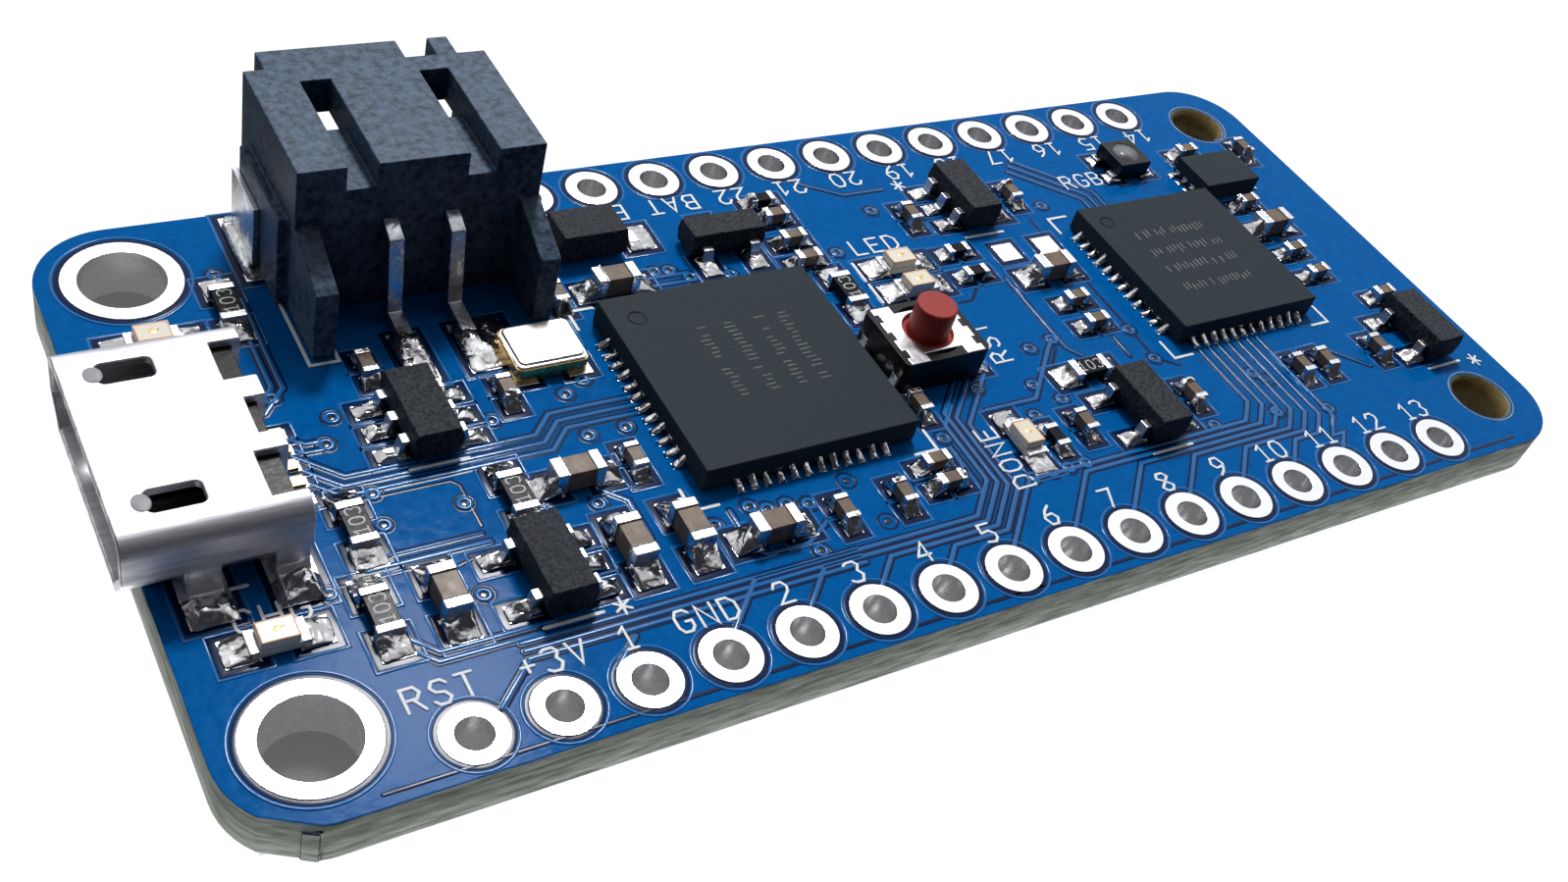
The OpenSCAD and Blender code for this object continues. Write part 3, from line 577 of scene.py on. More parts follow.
class BoardSkin:
    """Blue solder mask on the flat faces of the laminate, cut glass fibre on its walls,
    and a painted highlight: pale speckles on the slanted faces of the bevelled rim."""

    mask = (0.001, 0.122, 0.41)
    mask_deep = (0.0008, 0.098, 0.34)
    fibre = (0.42, 0.45, 0.42)
    fibre_dark = (0.16, 0.18, 0.15)
    rim_highlight = (0.80, 0.86, 0.90)
    flat_from = (0.62, 0.70)
    rim_from = (0.05, 0.12)
    shine = 0.016
    name = "mask_and_fibre"

    def material(self, groups: Groups) -> bpy.types.Material:
        """Builds the material.

        With n the upright part of the normal, the mask takes over where n passes
        `flat_from`, and the pale speckles of the painted rim highlight show on the walls where n passes
        `rim_from`.

        Args:
            groups: the shared node groups.

        Returns:
            The material.
        """
        made = bpy.data.materials.new(self.name)
        made.use_nodes = True
        tree = made.node_tree
        normal = add_node(tree, "NewGeometry").outputs["Normal"]
        split = add_node(tree, "SeparateXYZ", {"Vector": normal}).outputs["Z"]
        upright = add_node(tree, "Math", {0: split}, operation="ABSOLUTE").outputs[0]
        flat, rim = (
            add_node(tree, "MapRange", {"Value": upright, "From Min": low, "From Max": high})
            .outputs["Result"] for low, high in (self.flat_from, self.rim_from))
        lacquer = groups.place(tree, Pattern.GRAIN, 3.0, 0.12, 0.10, 0.05)
        cut = groups.place(tree, Pattern.LAYERED, 2.2, 0.9, 0.72, 0.2)
        walls = blend(tree, cut["Mask"], (*self.fibre_dark, 1.0), (*self.fibre, 1.0))
        mask = blend(tree, lacquer["Mask"], (*self.mask_deep, 1.0), (*self.mask, 1.0))
        # painted highlight: pale speckles on the bevelled rim
        rim_lit = add_node(tree, "Math", {0: rim, 1: cut["Mask"]}, operation="MULTIPLY").outputs[0]
        walls = blend(tree, rim_lit, walls, (*self.rim_highlight, 1.0))
        feed(tree, tree.nodes[SHADER], {
            "Base Color": blend(tree, flat, walls, mask),
            "Roughness": blend(tree, flat, cut["Roughness"], lacquer["Roughness"], "FLOAT"),
            "Normal": blend(tree, flat, cut["Normal"], lacquer["Normal"], "VECTOR"),
            "Specular IOR Level": self.shine,
        })
        return made


# ------------------------------------------------------------------ the workshop


@dataclass(frozen=True)
class Coat:
    """How a CAD node is shown: a copy with rounded edges and a finish.

    Args:
        node: the CAD node.
        finish: what its surface is.
        slot: the record's material slot; not used.
        edge: width of its rounded edges in millimetres, 0 to leave them sharp.
        steps: segments of each rounded edge.
        whole: join the triangles of each flat face first.
        body: the CAD body it rides on.
    """

    node: str
    finish: Finish | BoardSkin
    slot: str
    edge: float = 0.03
    steps: int = 2
    whole: bool = True
    body: str = BOARD


class Shop:
    """What every sub-assembly needs: the frame, the shared groups, and a way to hand in a piece."""

    def __init__(self) -> None:
        """Loads the frame, builds the groups and seeds the random numbers."""
        self.frame = Frame()
        self.groups = Groups()
        self.random = np.random.default_rng(SEED)

    def hand_in(self, piece: bpy.types.Object, finish, body: str = BOARD, stands_for=()) -> None:
        """Gives a piece its finish, its body and the nodes it stands for.

        Args:
            piece: the finished object.
            finish: a Finish or another class with a material method.
            body: the CAD body it rides on.
            stands_for: names of the CAD nodes that it replaces.
        """
        piece.data.materials.clear()
        piece.data.materials.append(finish.material(self.groups))
        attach(piece, body)
        if stands_for:
            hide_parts(*stands_for)
        LOG.info("%s: %d faces, on %s", piece.name, len(piece.data.polygons), body)

    def dress(self, coat: Coat) -> None:
        """Replaces a CAD node by a copy with rounded edges and a finish.

        Args:
            coat: what to do with which node.
        """
        piece = self.frame.copy(coat.node, f"formed_{coat.node}", coat.whole)
        shade(piece, True)
        if coat.edge:
            rounding = piece.modifiers.new("rounded_edges", "BEVEL")
            rounding.width = coat.edge * MM
            rounding.segments = coat.steps
            rounding.limit_method = "ANGLE"
            rounding.angle_limit = EDGE_ANGLE
            rounding.use_clamp_overlap = False
            rounding.loop_slide = False
            rounding.harden_normals = True
        self.hand_in(piece, coat.finish, coat.body, (coat.node,))


# ------------------------------------------------------------------ sub-assemblies


PACKAGED = ("charger_chip", "usb_guard", "near_regulator", "far_regulator", "supervisor",
            "power_switch", "diode")


@dataclass
class Dressing:
    """The CAD nodes that keep their shape and get rounded edges and a finish."""

    coats: tuple[Coat, ...] = (
        Coat("board_laminate", BoardSkin(), "solder_mask_board", 0.05, whole=False),
        *(Coat(name, TINNED, "tinned_copper", 0.02)
          for name in ("near_header_eyelets", "far_header_eyelets", "mounting_eyelets")),
        Coat("component_lands", TINNED, "tinned_copper", 0.015),
        Coat("usb_shell", SHELL_STEEL, "shell_steel", 0.06, 3),
        Coat("usb_tongue", MOULDED_BLACK, "moulded_black"),
        Coat("usb_contacts", CONTACT_GOLD, "gold_contact", 0.02),
        Coat("battery_socket_housing", SOCKET_PLASTIC, "socket_plastic", 0.05, 3),
        Coat("battery_socket_pins", LEAD, "lead_tin", 0.04),
        Coat("battery_socket_tabs", LEAD, "lead_tin"),
        Coat("main_chip_body", CHIP_TOP, "chip_moulding", 0.04),
        Coat("main_chip_terminals", LEAD, "lead_tin", 0.02),
        Coat("second_chip_body", CHIP_TOP, "chip_moulding", 0.04),
        Coat("second_chip_terminals", LEAD, "lead_tin", 0.02),
        Coat("memory_chip_body", CHIP_TOP, "chip_moulding"),
        Coat("memory_chip_terminals", LEAD, "lead_tin", 0.02),
        Coat("crystal_base", CONTACT_GOLD, "moulded_black", 0.04, 3),
        Coat("crystal_lid", CRYSTAL_STEEL, "lid_steel", 0.04, 3),
        *(coat for name in PACKAGED for coat in (
            Coat(f"{name}_body", PACKAGE, "package_moulding", 0.04),
            Coat(f"{name}_leads", LEAD, "lead_tin", 0.04))),
        Coat("reset_switch_base", MOULDED_BLACK, "moulded_black", 0.02, whole=False),
        Coat("reset_switch_cover", LID_STEEL, "lid_steel", 0.025, whole=False),
        Coat("reset_switch_dome", LID_STEEL, "shell_steel", 0.0),
        Coat("reset_switch_legs", LEAD, "lead_tin", 0.04),
        Coat("reset_button", BUTTON_RED, "button_plastic", 0.09, 4, body=BUTTON),
        Coat("large_capacitor_bodies", TAN_CERAMIC, "capacitor_ceramic"),
        Coat("large_capacitor_terminals", END_CAP, "end_cap_tin", 0.05, 3),
        Coat("small_capacitor_bodies", TAN_CERAMIC, "capacitor_ceramic"),
        Coat("small_capacitor_terminals", END_CAP, "end_cap_tin", 0.04, 3),
        Coat("large_resistor_bodies", BLACK_GLAZE, "resistor_film"),
        Coat("large_resistor_terminals", END_CAP, "end_cap_tin", 0.04, 3),
        Coat("small_resistor_bodies", BLACK_GLAZE, "resistor_film", 0.02),
        Coat("small_resistor_terminals", END_CAP, "end_cap_tin", 0.03, 3),
        Coat("status_led_bases", LIGHT_BASE, "light_base", 0.02),
        Coat("status_led_lenses", LIGHT_RESIN, "light_lens", 0.06, 3),
        Coat("status_led_terminals", END_CAP, "end_cap_tin"),
        Coat("colour_led_body", MOULDED_BLACK, "light_base"),
        Coat("colour_led_lens", CLEAR_RESIN, "colour_light_lens", 0.0),
        Coat("colour_led_terminals", END_CAP, "end_cap_tin", 0.02),
    )

    def build(self, shop: Shop) -> None:
        """Dresses each node in turn."""
        for coat in self.coats:
            shop.dress(coat)


# ------------------------------------------------------------------ flat drawing


@dataclass(frozen=True)
class Strip:
    """Section of a low strip that is laid along a path.

    Args:
        width: width at its foot.
        height: height of its crown over the surface.
        sink: how far its foot goes below the surface.
    """

    width: float
    height: float
    sink: float = 0.004

    ACROSS = np.array([-1.0, -0.82, -0.5, 0.5, 0.82, 1.0])
    CROWN = np.array([0.0, 0.62, 1.0, 1.0, 0.62, 0.0])

    def lay(self, shell: Shell, path, z: float, closed: bool = False) -> None:
        """Carries the section along a flat path.

        The section is a hump of six points, closed below. At a corner it stands across
        the mean of the two directions and is widened by 1 / cos(half the turn). An open
        path ends in a half-round: the section shrinks to a point half a width further on.

        Args:
            shell: where the surface goes.
            path: points (x, y) of the middle line.
            z: height of the surface that the strip lies on.
            closed: join the path's end to its start.
        """
        line = np.asarray(path, float)
        along, left, cosine = mitres(line, closed)
        wide, tall = 1 / np.clip(cosine, 0.5, 1), np.ones(len(line))
        if not closed:
            start, end = along[:1] * self.width / 2, along[-1:] * self.width / 2
            line = np.vstack([line[:1] - start, line[:1] - start * 0.6, line,
                              line[-1:] + end * 0.6, line[-1:] + end])
            left = np.vstack([left[:1], left[:1], left, left[-1:], left[-1:]])
            wide = np.concatenate([[0, 0.75], wide, [0.75, 0]])
            tall = np.concatenate([[0, 0.9], tall, [0.9, 0]])
        across = self.ACROSS[None, :, None] * (self.width / 2 * wide)[:, None, None]
        flat = line[:, None, :] + across * left[:, None, :]
        rise = self.CROWN[None, :] * tall[:, None] * (self.height + self.sink) - self.sink + z
        shell.add_grid(np.concatenate([flat, rise[..., None]], -1), wrap_u=closed, wrap_v=True)


def mitres(line: np.ndarray, closed: bool = False) -> tuple[np.ndarray, np.ndarray, np.ndarray]:
    """Directions at the points of a flat path.

    Args:
        line: points (x, y).
        closed: the path's end joins its start.

    Returns:
        At each point the mean direction, its left, and the cosine of half the turn.
    """
    steps = np.roll(line, -1, 0) - line if closed else np.diff(line, axis=0)
    steps /= np.linalg.norm(steps, axis=1, keepdims=True)
    before, after = np.roll(steps, 1, 0), steps
    if not closed:
        before, after = np.vstack([steps[:1], steps]), np.vstack([steps, steps[-1:]])
    along = before + after
    along /= np.linalg.norm(along, axis=1, keepdims=True)
    left = np.stack([-along[:, 1], along[:, 0]], 1)
    return along, left, (left * np.stack([-after[:, 1], after[:, 0]], 1)).sum(1)


def beside(path, shift: float) -> np.ndarray:
    """A path moved to its left by a shift, with its corners mitred.

    Args:
        path: points (x, y).
        shift: distance to the left.

    Returns:
        The moved points.
    """
    line = np.asarray(path, float)
    _, left, cosine = mitres(line)
    return line + left * shift / cosine[:, None]


def circle(x: float, y: float, radius: float, count: int = 12) -> np.ndarray:
    """Points round a circle: the centre plus radius times (cos a, sin a)."""
    angle = np.arange(count) * 2 * np.pi / count
    return np.stack([x + radius * np.cos(angle), y + radius * np.sin(angle)], 1)


def frame_of(block: Block, margin: float) -> np.ndarray:
    """The four corners of a block's outline, moved out by a margin."""
    (x0, y0), (x1, y1) = block.lo[:2] - margin, block.hi[:2] + margin
    return np.array([(x0, y0), (x1, y0), (x1, y1), (x0, y1)])


@dataclass
class Lettering:
    """Plain single-line signs, drawn on a grid of 4 by 6.

    Args:
        height: height of a sign in millimetres.
        narrow: width of a sign over its height.
        advance: distance from sign to sign over the height.
        pen: section of the painted line.
        step: how much higher each further stroke of a sign lies.
    """

    height: float = 0.76
    narrow: float = 0.62
    advance: float = 0.98
    pen: Strip = Strip(0.105, 0.012)
    step: float = 0.0006

    # points x,y of each stroke; a slash parts one stroke from the next
    SIGNS = {
        "0": "1,0 0,1.5 0,4.5 1,6 3,6 4,4.5 4,1.5 3,0 1,0", "1": "0.6,4.6 2.2,6 2.2,0/0.8,0 3.6,0",
        "2": "0,4.6 1,6 3,6 4,4.6 3.6,3.2 0,0 4,0",
        "3": "0,5.4 1,6 3,6 4,4.8 3,3.3 4,1.8 3,0 1,0 0,0.7", "4": "3,0 3,6 0,2 4,2",
        "5": "3.8,6 0.4,6 0.2,3.4 2.6,3.7 4,2.4 4,1.2 2.8,0 0.4,0.4",
        "6": "3.4,6 1.4,4.6 0,2.4 1,0 3,0 4,1.8 3,3.4 0.6,3.1", "7": "0,6 4,6 1.4,0",
        "8": "2,3.3 0,4.6 1,6 3,6 4,4.6 0,1.4 1,0 3,0 4,1.4 2,3.3",
        "9": "0.6,0 2.6,1.4 4,3.6 3,6 1,6 0,4.2 1,2.6 3.4,2.9", "A": "0,0 2,6 4,0/0.8,2 3.2,2",
        "B": "0,0 0,6 3,6 4,4.6 3,3.1 0.6,3.1/3,3.1 4,1.6 3,0 0,0",
        "C": "4,5 3,6 1,6 0,4.5 0,1.5 1,0 3,0 4,1", "D": "0,0 0,6 2.4,6 4,4.4 4,1.6 2.4,0 0,0",
        "E": "4,6 0,6 0,0 4,0/0.6,3.1 3,3.1",
        "G": "4,5 3,6 1,6 0,4.5 0,1.5 1,0 3,0 4,1.2 4,2.8 2.4,2.8",
        "H": "0,0 0,6/4,0 4,6/0.6,3 3.4,3", "L": "0,6 0,0 4,0", "N": "0,0 0,6 4,0 4,6",
        "O": "1,0 0,1.5 0,4.5 1,6 3,6 4,4.5 4,1.5 3,0 1,0",
        "R": "0,0 0,6 3,6 4,4.5 3,3 0.6,3/2,3 4,0",
        "S": "4,5 3,6 1,6 0,4.6 1,3.2 3,2.8 4,1.4 3,0 1,0 0,1", "T": "0,6 4,6/2,5.4 2,0",
        "V": "0,6 2,0 4,6", "+": "0.4,3 3.6,3/2,1.4 2,4.6",
        "*": "2,0.6 2,5.4/0,1.8 4,4.2/0,4.2 4,1.8",
    }

    def write(self, shell: Shell, text: str, x: float, y: float, z: float, turn: float = 0.0) -> None:
        """Writes a line of signs centred on a point.

        Args:
            shell: where the strokes go.
            text: the signs.
            x: middle of the line.
            y: middle of the line.
            z: surface that it is painted on.
            turn: its angle in degrees.
        """
        c, s = math.cos(math.radians(turn)), math.sin(math.radians(turn))
        start = -(len(text) - 1) * self.advance / 2
        for place, sign in enumerate(text):
            for number, stroke in enumerate(self.SIGNS[sign].split("/")):
                line = np.array([point.split(",") for point in stroke.split()], float)
                line = (line / (4, 6) - 0.5) * (self.narrow, 1) + (start + place * self.advance, 0)
                line = line * self.height @ np.array([[c, s], [-s, c]]) + (x, y)
                self.pen.lay(shell, line, z + self.step * number)


# ------------------------------------------------------------------ board artwork


@dataclass
class Tracks:
    """Copper tracks under the mask, with the gaps in the copper beside them.

    Args:
        width: width of a track.
        gap: width of the gap on each side.
        rise: height of a track under its mask.
        film: height of the mask over a gap.
        step: difference in height between crossing strips.
        levels: how many such heights there are.
        lane: distance from track to track in the header lanes.
        first_lane: distance of the lowest lane from the near row of holes.
        arrival: where a track meets its hole's ring, from the hole.
        bend: height of the 45 degree fall into a header lane.
        ground: height of the board's top.
    """

    width: float = 0.17
    gap: float = 0.09
    rise: float = 0.026
    film: float = 0.004
    step: float = 0.0003
    levels: int = 12
    lane: float = 0.27
    first_lane: float = 1.42
    arrival: tuple[float, float] = (0.45, 0.66)
    bend: float = 0.8
    ground: float = 0.0
    gaps: Shell = field(default_factory=Shell)
    tops: Shell = field(default_factory=Shell)
    count: int = 0

    def lift(self) -> float:
        """The next of the small heights that keep crossing strips apart."""
        self.count += 1
        return self.step * ((self.count - 1) % self.levels)

    def track(self, path, width: float | None = None) -> None:
        """Lays one track and its gap.

        Args:
            path: its middle line.
            width: its width, where it isn't the usual one.
        """
        width, lift = width or self.width, self.lift()
        Strip(width + 2 * self.gap, self.film + lift).lay(self.gaps, path, self.ground)
        Strip(width, self.rise + lift).lay(self.tops, path, self.ground)

    def bundle(self, path, count: int, spacing: float) -> None:
        """Lays several tracks side by side along one path."""
        for k in range(count):
            self.track(beside(path, (k - (count - 1) / 2) * spacing))

    def gap_line(self, path, width: float, closed: bool = False) -> None:
        """A gap with no track in it."""
        Strip(width, self.film + self.lift()).lay(self.gaps, path, self.ground, closed)

    def clearing(self, inner, outer, gap: float, edge: Strip) -> None:
        """A closed gap, and the raised edge of the copper round it.

        Args:
            inner: middle line of the gap.
            outer: middle line of the edge.
            gap: the gap's width.
            edge: the edge's section.
        """
        self.gap_line(inner, gap, True)
        edge.lay(self.tops, outer, self.ground, True)

    def landing(self, hole: Block, rank: int) -> tuple[float, list[tuple[float, float]]]:
        """The way from a lane into a hole's ring.

        Args:
            hole: the ring.
            rank: number of the lane, from 0 for the lowest.

        Returns:
            Height of the lane, and the last two points of the track.
        """
        x, y = hole.centre[:2] + self.arrival
        level = hole.centre[1] + self.first_lane + self.lane * rank
        return level, [(x + (level - y), level), (x, y)]

    def header_lanes(self, holes: list[Block], pads: list[Block]) -> None:
        """Tracks from a chip's near pads, along nested lanes, to the near header holes.

        The pad furthest to the left takes the highest lane and the furthest hole, so that
        no two tracks cross: down from the pad, 45 degrees, along the lane, 45 degrees down
        into the hole's ring.

        Args:
            holes: rings from right to left.
            pads: chip pads from right to left.
        """
        for rank, (hole, pad) in enumerate(zip(holes, pads)):
            level, end = self.landing(hole, rank)
            x, y = pad.centre[0], pad.lo[1] + 0.1
            self.track([(x, y), (x, level + self.bend), (x - self.bend, level), *end])

    def falling_lanes(self, holes: list[Block], tops: list[tuple[float, float]]) -> None:
        """Tracks that fall from given points, turn left and run to their holes.

        Args:
            holes: rings from right to left.
            tops: start of each track, from right to left.
        """
        for rank, (hole, (x, y)) in enumerate(zip(holes, tops)):
            level, end = self.landing(hole, rank)
            column, bend = 1.0 - 0.3 * rank, 1.5 - 0.08 * rank
            self.track([(x, y), (column, y - (x - column)), (column, level + bend),
                        (column - bend, level), *end])


@dataclass
class BoardArtwork:
    """Everything that is etched into, drilled through or painted on the board's top.

    Args:
        margin: width of the bare gap round every land and ring.
        via_r: radius of a via's ring.
        tracks: the copper tracks.
        lettering: the painted signs.
        labels_near: signs by the near holes from left to right.
        labels_far: signs by the far holes from right to left.
        via_places: middles of the vias under the mask.
        bright_vias: middles of the vias without a ring.
    """

    margin: float = 0.11
    via_r: float = 0.19
    tracks: Tracks = field(default_factory=Tracks)
    lettering: Lettering = field(default_factory=Lettering)
    labels_near: tuple[str, ...] = ("RST", "+3V", "1", "GND", "2", "3", "4", "5", "6", "7", "8",
                                    "9", "10", "11", "12", "13")
    labels_far: tuple[str, ...] = ("14", "15", "16", "17", "18", "19", "20", "21", "22", "BAT",
                                   "EN", "5V")
    via_places: tuple[tuple[float, float], ...] = (
        (5.55, -1.65), (6.7, -1.45), (2.25, -2.9), (4.5, -3.3), (5.15, -4.2), (3.65, -4.6),
        (1.75, -7.05), (2.55, -7.05), (3.3, -7.05), (4.05, -7.05), (10.2, -3.4), (10.2, -1.8),
        (3.2, -1.8), (10.2, -6.95), (13.2, -7.1), (-0.3, -4.6), (13.7, -5.15), (15.5, -7.55),
        (-6.15, 5.4), (-5.6, 5.35), (-5.0, 4.85), (-3.5, 4.65), (-10.85, 1.1), (-11.65, 0.65),
        (-18.7, -1.6), (-18.8, -2.8), (-16.35, -2.7), (-21.0, -4.7), (-17.1, -6.0), (-9.6, -5.7),
        (-8.2, -5.35), (-6.3, -5.8), (-6.9, -7.6), (-11.7, -1.2), (-10.4, -1.2), (-12.6, -3.85),
        (-18.8, 1.6), (-19.3, 0.6), (-20.2, 2.8), (-20.2, 8.5), (-14.3, 0.2), (1.1, 4.8),
        (3.8, 6.7), (11.3, 5.45), (-7.7, -5.6), (-7.0, -5.6),
    )
    bright_vias: tuple[tuple[float, float], ...] = ((-4.6, -5.3), (-4.2, -7.2), (14.05, -5.6))

    def etch(self, shop: Shop) -> None:
        """Draws the tracks, and the gaps round lands and rings."""
        frame, tracks = shop.frame, self.tracks
        near = frame.islands("near_header_eyelets")[::-1]
        far = frame.islands("far_header_eyelets")[::-1]
        second = frame.block("second_chip_body")
        pads = [b for b in frame.islands("second_chip_terminals")
                if b.hi[1] < second.lo[1] + 0.5 and b.size[0] < 0.5]
        tracks.header_lanes(near[2:9], pads[::-1][5:12])
        tracks.falling_lanes(near[9:13], [(3.3, -2.0), (2.6, -2.0), (1.9, -2.1), (0.9, -3.3)])
        left, low = frame.block("main_chip_body").lo[0], near[0].centre[1]
        rear = frame.block("usb_shell").hi[0]
        side = second.lo[0]
        for path, count, spacing in (
            ([(left + 0.1, -0.35), (left - 3.0, -0.35), (left - 3.75, -1.1), (rear + 1.75, -1.1),
              (rear + 0.35, 0.3), (rear + 0.1, 0.3)], 3, 0.36),
            ([(rear + 0.3, 1.3), (rear + 1.2, 0.6), (rear + 1.75, 0.6)], 2, 0.34),
            ([(rear + 1.2, 7.2), (rear + 1.2, 3.2), (rear + 0.4, 2.3)], 2, 0.3),
            ([(rear + 1.45, -6.3), (rear + 1.45, -6.9), (rear + 2.1, -7.6), (rear + 5.0, -7.6)], 2, 0.3),
            ([(rear + 4.3, low + 2.0), (left + 3.6, low + 2.0)], 3, 0.27),
        ):
            tracks.bundle(path, count, spacing)
        for path, width in (
            ([(rear + 4.3, low + 1.7), (rear + 3.0, low + 0.5)], None),
            ([(rear + 7.4, low + 1.5), (rear + 6.4, low + 0.6)], None),
            ([(rear + 1.3, -4.25), (rear + 4.9, -4.25)], 0.2),
            ([(rear + 1.6, -3.9), (rear + 4.8, -3.9)], 0.12),
            ([(left - 3.0, -3.3), (left - 2.3, -4.0), (left - 2.3, -5.6)], None),
            ([(left + 0.5, -5.3), (left + 0.5, -6.9), (left + 0.8, -7.2), (left + 2.3, -7.2),
              (left + 3.3, -6.6)], None),
            ([(6.7, -1.45), (6.2, -1.9), (4.2, -3.9), (2.0, -3.9)], None),
            ([(7.0, 1.9), (7.0, -2.0), (7.4, -2.5)], None),
            ([(9.3, -2.0), (9.3, -3.0)], 0.14),
            ([(17.9, -4.9), (19.2, -6.2)], 0.14),
        ):
            tracks.track(path, width)
        tracks.bundle([(side + 2.2, second.hi[1] + 0.2), (side + 2.2, 5.6), (side - 0.2, 8.0)], 3, 0.42)
        tracks.track([(1.6, 8.9), (3.2, 7.8), (5.0, 7.8)], 0.14)
        tracks.bundle([(left + 1.5, 5.9), (left + 2.6, 4.9), (left + 4.4, 4.9)], 2, 0.4)
        rings = [(ring, 0.05, 0.22, 40, self.margin * 2, Strip(0.09, 0.02)) for ring in near + far]
        rings += [(ring, 0.06, 0.24, 64, 0.24, Strip(0.1, 0.024))
                  for ring in frame.islands("mounting_eyelets")]
        for ring, inner, outer, count, gap, edge in rings:
            inside, outside = (circle(*ring.centre[:2], ring.size[0] / 2 + out, count)
                               for out in (inner, outer))
            tracks.clearing(inside, outside, gap, edge)
        for land in frame.islands("component_lands"):
            if 0.35 < min(land.size[:2]) < BROAD_LAND:
                tracks.clearing(frame_of(land, 0.06), frame_of(land, 0.25), self.margin * 2.6,
                                Strip(0.09, 0.022))
        self.outlines(shop)

    def outlines(self, shop: Shop) -> None:
        """Gaps that part the larger copper areas from each other."""
        rear = shop.frame.block("usb_shell").hi[0]
        for path in (
            [(rear + 1.75, -1.75), (rear + 4.7, -1.75), (rear + 4.9, -2.0), (rear + 4.9, -3.65)],
            [(rear + 0.2, -4.55), (rear + 2.6, -4.55), (rear + 3.2, -4.95), (rear + 4.6, -4.6)],
            [(-21.8, -11.05), (22.4, -11.05)],
            [(10.25, 4.8), (10.25, -3.4), (11.0, -4.0)], [(4.3, 1.2), (4.9, 1.2), (6.6, 2.8)],
            [(-0.75, -7.4), (-0.2, -6.9), (-0.2, -5.0)], [(5.9, -3.4), (5.9, -2.6), (6.6, -1.9)],
        ):
            self.tracks.gap_line(path, 0.16)

    def drill(self) -> Shell:
        """Vias: a raised ring under the mask round a dark filled hole.

        Returns:
            The dark fillings.
        """
        dark = Shell()
        z = self.tracks.ground
        for x, y in self.via_places + self.bright_vias:
            if (x, y) not in self.bright_vias:
                Strip(0.15, 0.032).lay(self.tracks.tops, circle(x, y, self.via_r), z, True)
            self.tracks.gap_line(circle(x, y, self.via_r + 0.14), 0.1, True)
            dark.add_grid(cap_grid(x, y, z, self.via_r - 0.05, 0.012))
        return dark

    def paint(self, shop: Shop) -> Shell:
        """Paints labels, outlines and marks.

        Returns:
            The painted strokes.
        """
        frame, paint, z = shop.frame, Shell(), self.tracks.ground + 0.02
        near = frame.islands("near_header_eyelets")
        far = frame.islands("far_header_eyelets")[::-1]
        write = self.lettering.write
        for ring, text in zip(near, self.labels_near):
            shift = -0.35 if text == "RST" else 0.3 if text == "+3V" else 0.0
            write(paint, text, ring.centre[0] + shift, ring.centre[1] + 1.5, z)
        for ring, text in zip(far, self.labels_far):
            write(paint, text, ring.centre[0], ring.centre[1] - 1.5, z, 180)
        for text, x, y, turn in (
            ("CHG", -22.6, -4.9, 0), ("LED", 2.8, 4.85, 0), ("RST", 4.15, -1.0, 90),
            ("DONE", 1.3, -6.0, 90), ("RGB", 14.2, 6.5, 0), ("*", -13.6, -7.6, 0),
            ("*", 24.3, -7.2, 0), ("*", 5.8, 7.85, 0),
        ):
            write(paint, text, x, y, z, turn)
        line = Strip(0.13, 0.012)
        charger, guard = frame.block("charger_chip_body"), frame.block("usb_guard_body")
        near_reg, far_reg = frame.block("near_regulator_body"), frame.block("far_regulator_body")
        supervisor = frame.block("supervisor_body")
        for part, drop in ((charger, 0.22), (guard, 0.2), (near_reg, 0.35), (far_reg, 0.35),
                           (supervisor, 0.3)):
            y = part.lo[1] - drop
            line.lay(paint, [(part.lo[0] - 0.1, y), (part.hi[0] + 0.1, y)], z)
        for chip in (frame.block("main_chip_body"), frame.block("second_chip_body")):
            reach, out = 0.9, 0.62
            for sx, x in ((-1, chip.lo[0] - out), (1, chip.hi[0] + out)):
                for sy, y in ((-1, chip.lo[1] - out), (1, chip.hi[1] + out)):
                    line.lay(paint, [(x, y - sy * reach), (x, y), (x - sx * reach, y)], z)
        line.lay(paint, [(-18.7, 7.9), (-18.7, 3.85), (-17.8, 3.85), (-17.8, 4.5)], z)
        for y in (1.9, 3.1):
            line.lay(paint, [(1.35, y), (1.35, y + 1.0)], z)
        line.lay(paint, [(-24.6, -3.75), (-22.9, -3.75)], z)
        return paint

    def build(self, shop: Shop) -> None:
        """Makes the four pieces of artwork."""
        self.tracks.ground = shop.frame.block("board_laminate").hi[2]
        self.etch(shop)
        dark = self.drill()
        paint = self.paint(shop)
        for shell, name, finish in (
            (self.tracks.gaps, "mask_over_gaps", MASK_DEEP), (self.tracks.tops, "mask_over_tracks", MASK),
            (dark, "via_fillings", VIA_DARK), (paint, "painted_marks", PRINT_WHITE),
        ):
            shop.hand_in(shell.build(name), finish)


def cap_grid(x: float, y: float, z: float, radius: float, height: float) -> np.ndarray:
    """A low closed button: z rises as height x (1 - r^2), with a flat bottom just below.

    Args:
        x: middle.
        y: middle.
        z: surface that it stands on.
        radius: its radius.
        height: its height.

    Returns:
        A grid whose first and last rows are points, for Shell.add_grid with no wrapping.
    """
    share = np.array([0.0, 0.6, 1.0, 1.0, 0.0])
    level = np.array([1.0, 0.64, 0.0, -0.3, -0.3])
    angle = np.linspace(0, 2 * np.pi, 13)
    ring = np.stack([np.cos(angle), np.sin(angle)], -1)
    flat = np.array([x, y]) + radius * share[:, None, None] * ring[None]
    tall = np.broadcast_to((z + height * level)[:, None, None], (5, 13, 1))
    return np.concatenate([flat, tall], -1)


# ------------------------------------------------------------------ solder


